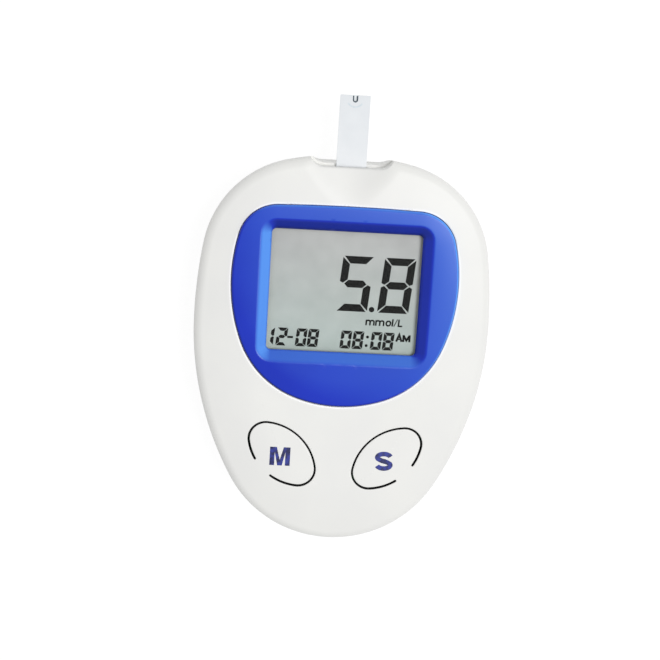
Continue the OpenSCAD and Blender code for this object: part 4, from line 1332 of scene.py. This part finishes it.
@dataclass(frozen=True)
class StripMarks:
    """Dark rim of the sampling notch, and the channel behind it as a faint arc of painted shade."""

    tip_y: float = 57.65
    z: float = 13.812
    half_w: float = 0.45
    reach: float = 1.0
    margin: float = 0.12
    pen: float = 0.28
    arc_r: float = 1.9
    arc_up: float = 0.3
    arc_pen: float = 0.35

    def build(self, shop: Workshop) -> None:
        """Adds both marks on the strip's cover."""
        t = np.linspace(0, -np.pi, 17)
        y, top = self.tip_y - self.reach, self.tip_y - self.margin
        bowl = self.half_w * unit(t) + [0.0, y]
        u = [(self.half_w, top)] + bowl.tolist() + [(-self.half_w, top)]
        arc = self.arc_r * unit(t[3:-3]) + [0.0, y + self.arc_up]
        dark = Glyph((stroke(u, self.pen),)).flat(self.z)
        # Painted shade of the channel behind the notch
        faint = Glyph((stroke(arc.tolist(), self.arc_pen),)).flat(self.z)
        shop.piece("sampling_rim", dark, ("reagent_ink",), Body.STRIP)
        shop.piece("channel_arc", faint, ("channel_painted_shade",), Body.STRIP)


def dress_frame(shop: Workshop) -> None:
    """Gives every CAD node its material, and smooth shading through a modifier."""
    tree = bpy.data.node_groups.new("smooth_by_angle", "GeometryNodeTree")
    tree.interface.new_socket("Geometry", in_out="INPUT", socket_type="NodeSocketGeometry")
    tree.interface.new_socket("Geometry", in_out="OUTPUT", socket_type="NodeSocketGeometry")
    start = add_node(tree, "NodeGroupInput")
    weld = add_node(tree, "GeometryNodeMergeByDistance", {}, {
        "Geometry": start.outputs[0], "Distance": 1e-6})
    angle = add_node(tree, "GeometryNodeInputMeshEdgeAngle")
    steep = add_node(tree, "FunctionNodeCompare", {"data_type": "FLOAT",
                                                   "operation": "GREATER_THAN"},
                     {0: angle.outputs[0], 1: math.radians(28)})
    smooth = add_node(tree, "GeometryNodeSetShadeSmooth", {"domain": "FACE"}, {
        "Geometry": weld.outputs[0], "Shade Smooth": True})
    crease = add_node(tree, "GeometryNodeSetShadeSmooth", {"domain": "EDGE"}, {
        "Geometry": smooth.outputs[0], "Selection": steep.outputs[0], "Shade Smooth": False})
    add_node(tree, "NodeGroupOutput", {}, {0: crease.outputs[0]})
    slots = {row["node"]: row["material_slot"] for row in frame["record"]["subparts"]}
    for name, obj in frame["nodes"].items():
        modifier = obj.modifiers.new("smooth", "NODES")
        modifier.node_group = tree
        for holder in obj.material_slots:
            holder.material = shop.material(slots[name])


# ---- Stage ---------------------------------------------------------------------------------


@dataclass(frozen=True)
class Camera:
    """Camera of the photograph: its tilt, its distance and where the picture's middle falls."""

    distance: float = 380.0
    scale: float = 4.48
    yaw: float = math.radians(3.6)
    pitch: float = math.radians(12.0)
    roll: float = math.radians(-3.55)
    centre: tuple = (344.87, 293.0)
    image: float = 660.0
    sensor: float = 36.0
    anchor: tuple = (0.0, 14.13, 19.0)

    def build(self) -> None:
        """Adds the camera and makes it the scene's."""
        turn = (Matrix.Rotation(self.roll, 3, "Z") @ Matrix.Rotation(self.pitch, 3, "X")
                @ Matrix.Rotation(self.yaw, 3, "Y"))
        half = self.image / 2
        across, down = ((pixel - half) / self.scale for pixel in self.centre)
        shift = Vector((across, -down, 0))
        place = turn.transposed() @ (Vector((0, 0, self.distance)) - shift) + Vector(self.anchor)
        data = bpy.data.cameras.new("photo_camera")
        data.sensor_width = self.sensor
        data.lens = self.sensor * self.scale * self.distance / self.image
        data.clip_start, data.clip_end = 0.01, 20.0
        obj = add_object("photo_camera", data)
        obj.matrix_world = Matrix.Translation(place * MM) @ turn.transposed().to_4x4()
        bpy.context.scene.camera = obj


@dataclass(frozen=True)
class Studio:
    """Pale floor, even surround and one broad light from the upper right."""

    surround: float = 0.56
    key: float = 1.86
    key_from: tuple = (0.36, 0.1, 0.93)
    key_spread: float = math.radians(28.0)
    floor_glow: float = 0.88
    floor_light: float = 1.05
    floor_half: float = 1.5

    def build(self) -> None:
        """Adds the lights and the floor."""
        world = bpy.data.worlds.new("even_surround")
        world.use_nodes = True
        back = world.node_tree.nodes["Background"]
        back.inputs[0].default_value = (1.0, 1.0, 1.0, 1.0)
        back.inputs[1].default_value = self.surround
        bpy.context.scene.world = world
        light = bpy.data.lights.new("key_light", "SUN")
        light.energy, light.angle = self.key, self.key_spread
        lamp = add_object("key_light", light)
        lamp.rotation_euler = Vector(self.key_from).to_track_quat("Z", "Y").to_euler()
        self.floor()
        bpy.context.scene.view_settings.view_transform = "Standard"

    def floor(self) -> None:
        """Pale floor that the camera sees lifted most of the way to white."""
        mesh = bpy.data.meshes.new("studio_floor")
        corners = np.array([(-1, -1), (1, -1), (1, 1), (-1, 1)]) * self.floor_half
        mesh.from_pydata(lifted(corners, 0.0).tolist(), [], [(0, 1, 2, 3)])
        mat = Recipe("painted_board_pale")
        tone = mat.mix(mat.ranged(mat.noise(2), *NOISE_SPAN), "#f6f6f6", "#f9f9f9")
        path = add_node(mat.tree, "ShaderNodeLightPath")
        seen = path.outputs["Is Camera Ray"]
        for ray in ("Is Glossy Ray", "Is Transmission Ray"):
            seen = mat.combine("MAXIMUM", seen, path.outputs[ray])
        mesh.materials.append(mat.shaded("ShaderNodeMixShader", {
            0: mat.combine("MULTIPLY", seen, self.floor_glow),
            1: mat.add("ShaderNodeBsdfDiffuse", {"Color": tone}),
            2: mat.add("ShaderNodeEmission", {"Strength": self.floor_light})}))
        add_object("studio_floor", mesh)


def main() -> None:
    """Builds the pieces, the materials and the stage."""
    logging.basicConfig(level=logging.INFO, format="%(name)s %(message)s")
    Camera().build()
    Studio().build()
    shop = Workshop()
    dress_frame(shop)
    front = FrontHousing(CaseForm(), ScoopForm(), ButtonForm(), BezelForm())
    front.build(shop)
    Bezel(front.bezel).build(shop)
    Display().build(shop)
    Button(front, Side.LEFT, "memory_button", Body.MEMORY,
           letter_m(4.65, 4.35, -12.4, -24.55)).build(shop)
    Button(front, Side.RIGHT, "set_button", Body.SET,
           letter_s(4.2, 4.55, 11.4, -24.65, 1.1)).build(shop)
    StripMarks().build(shop)
    LOG.info("%d pieces, %d materials", len(shop.made), len(shop.materials))


if __name__ == "__main__":
    main()
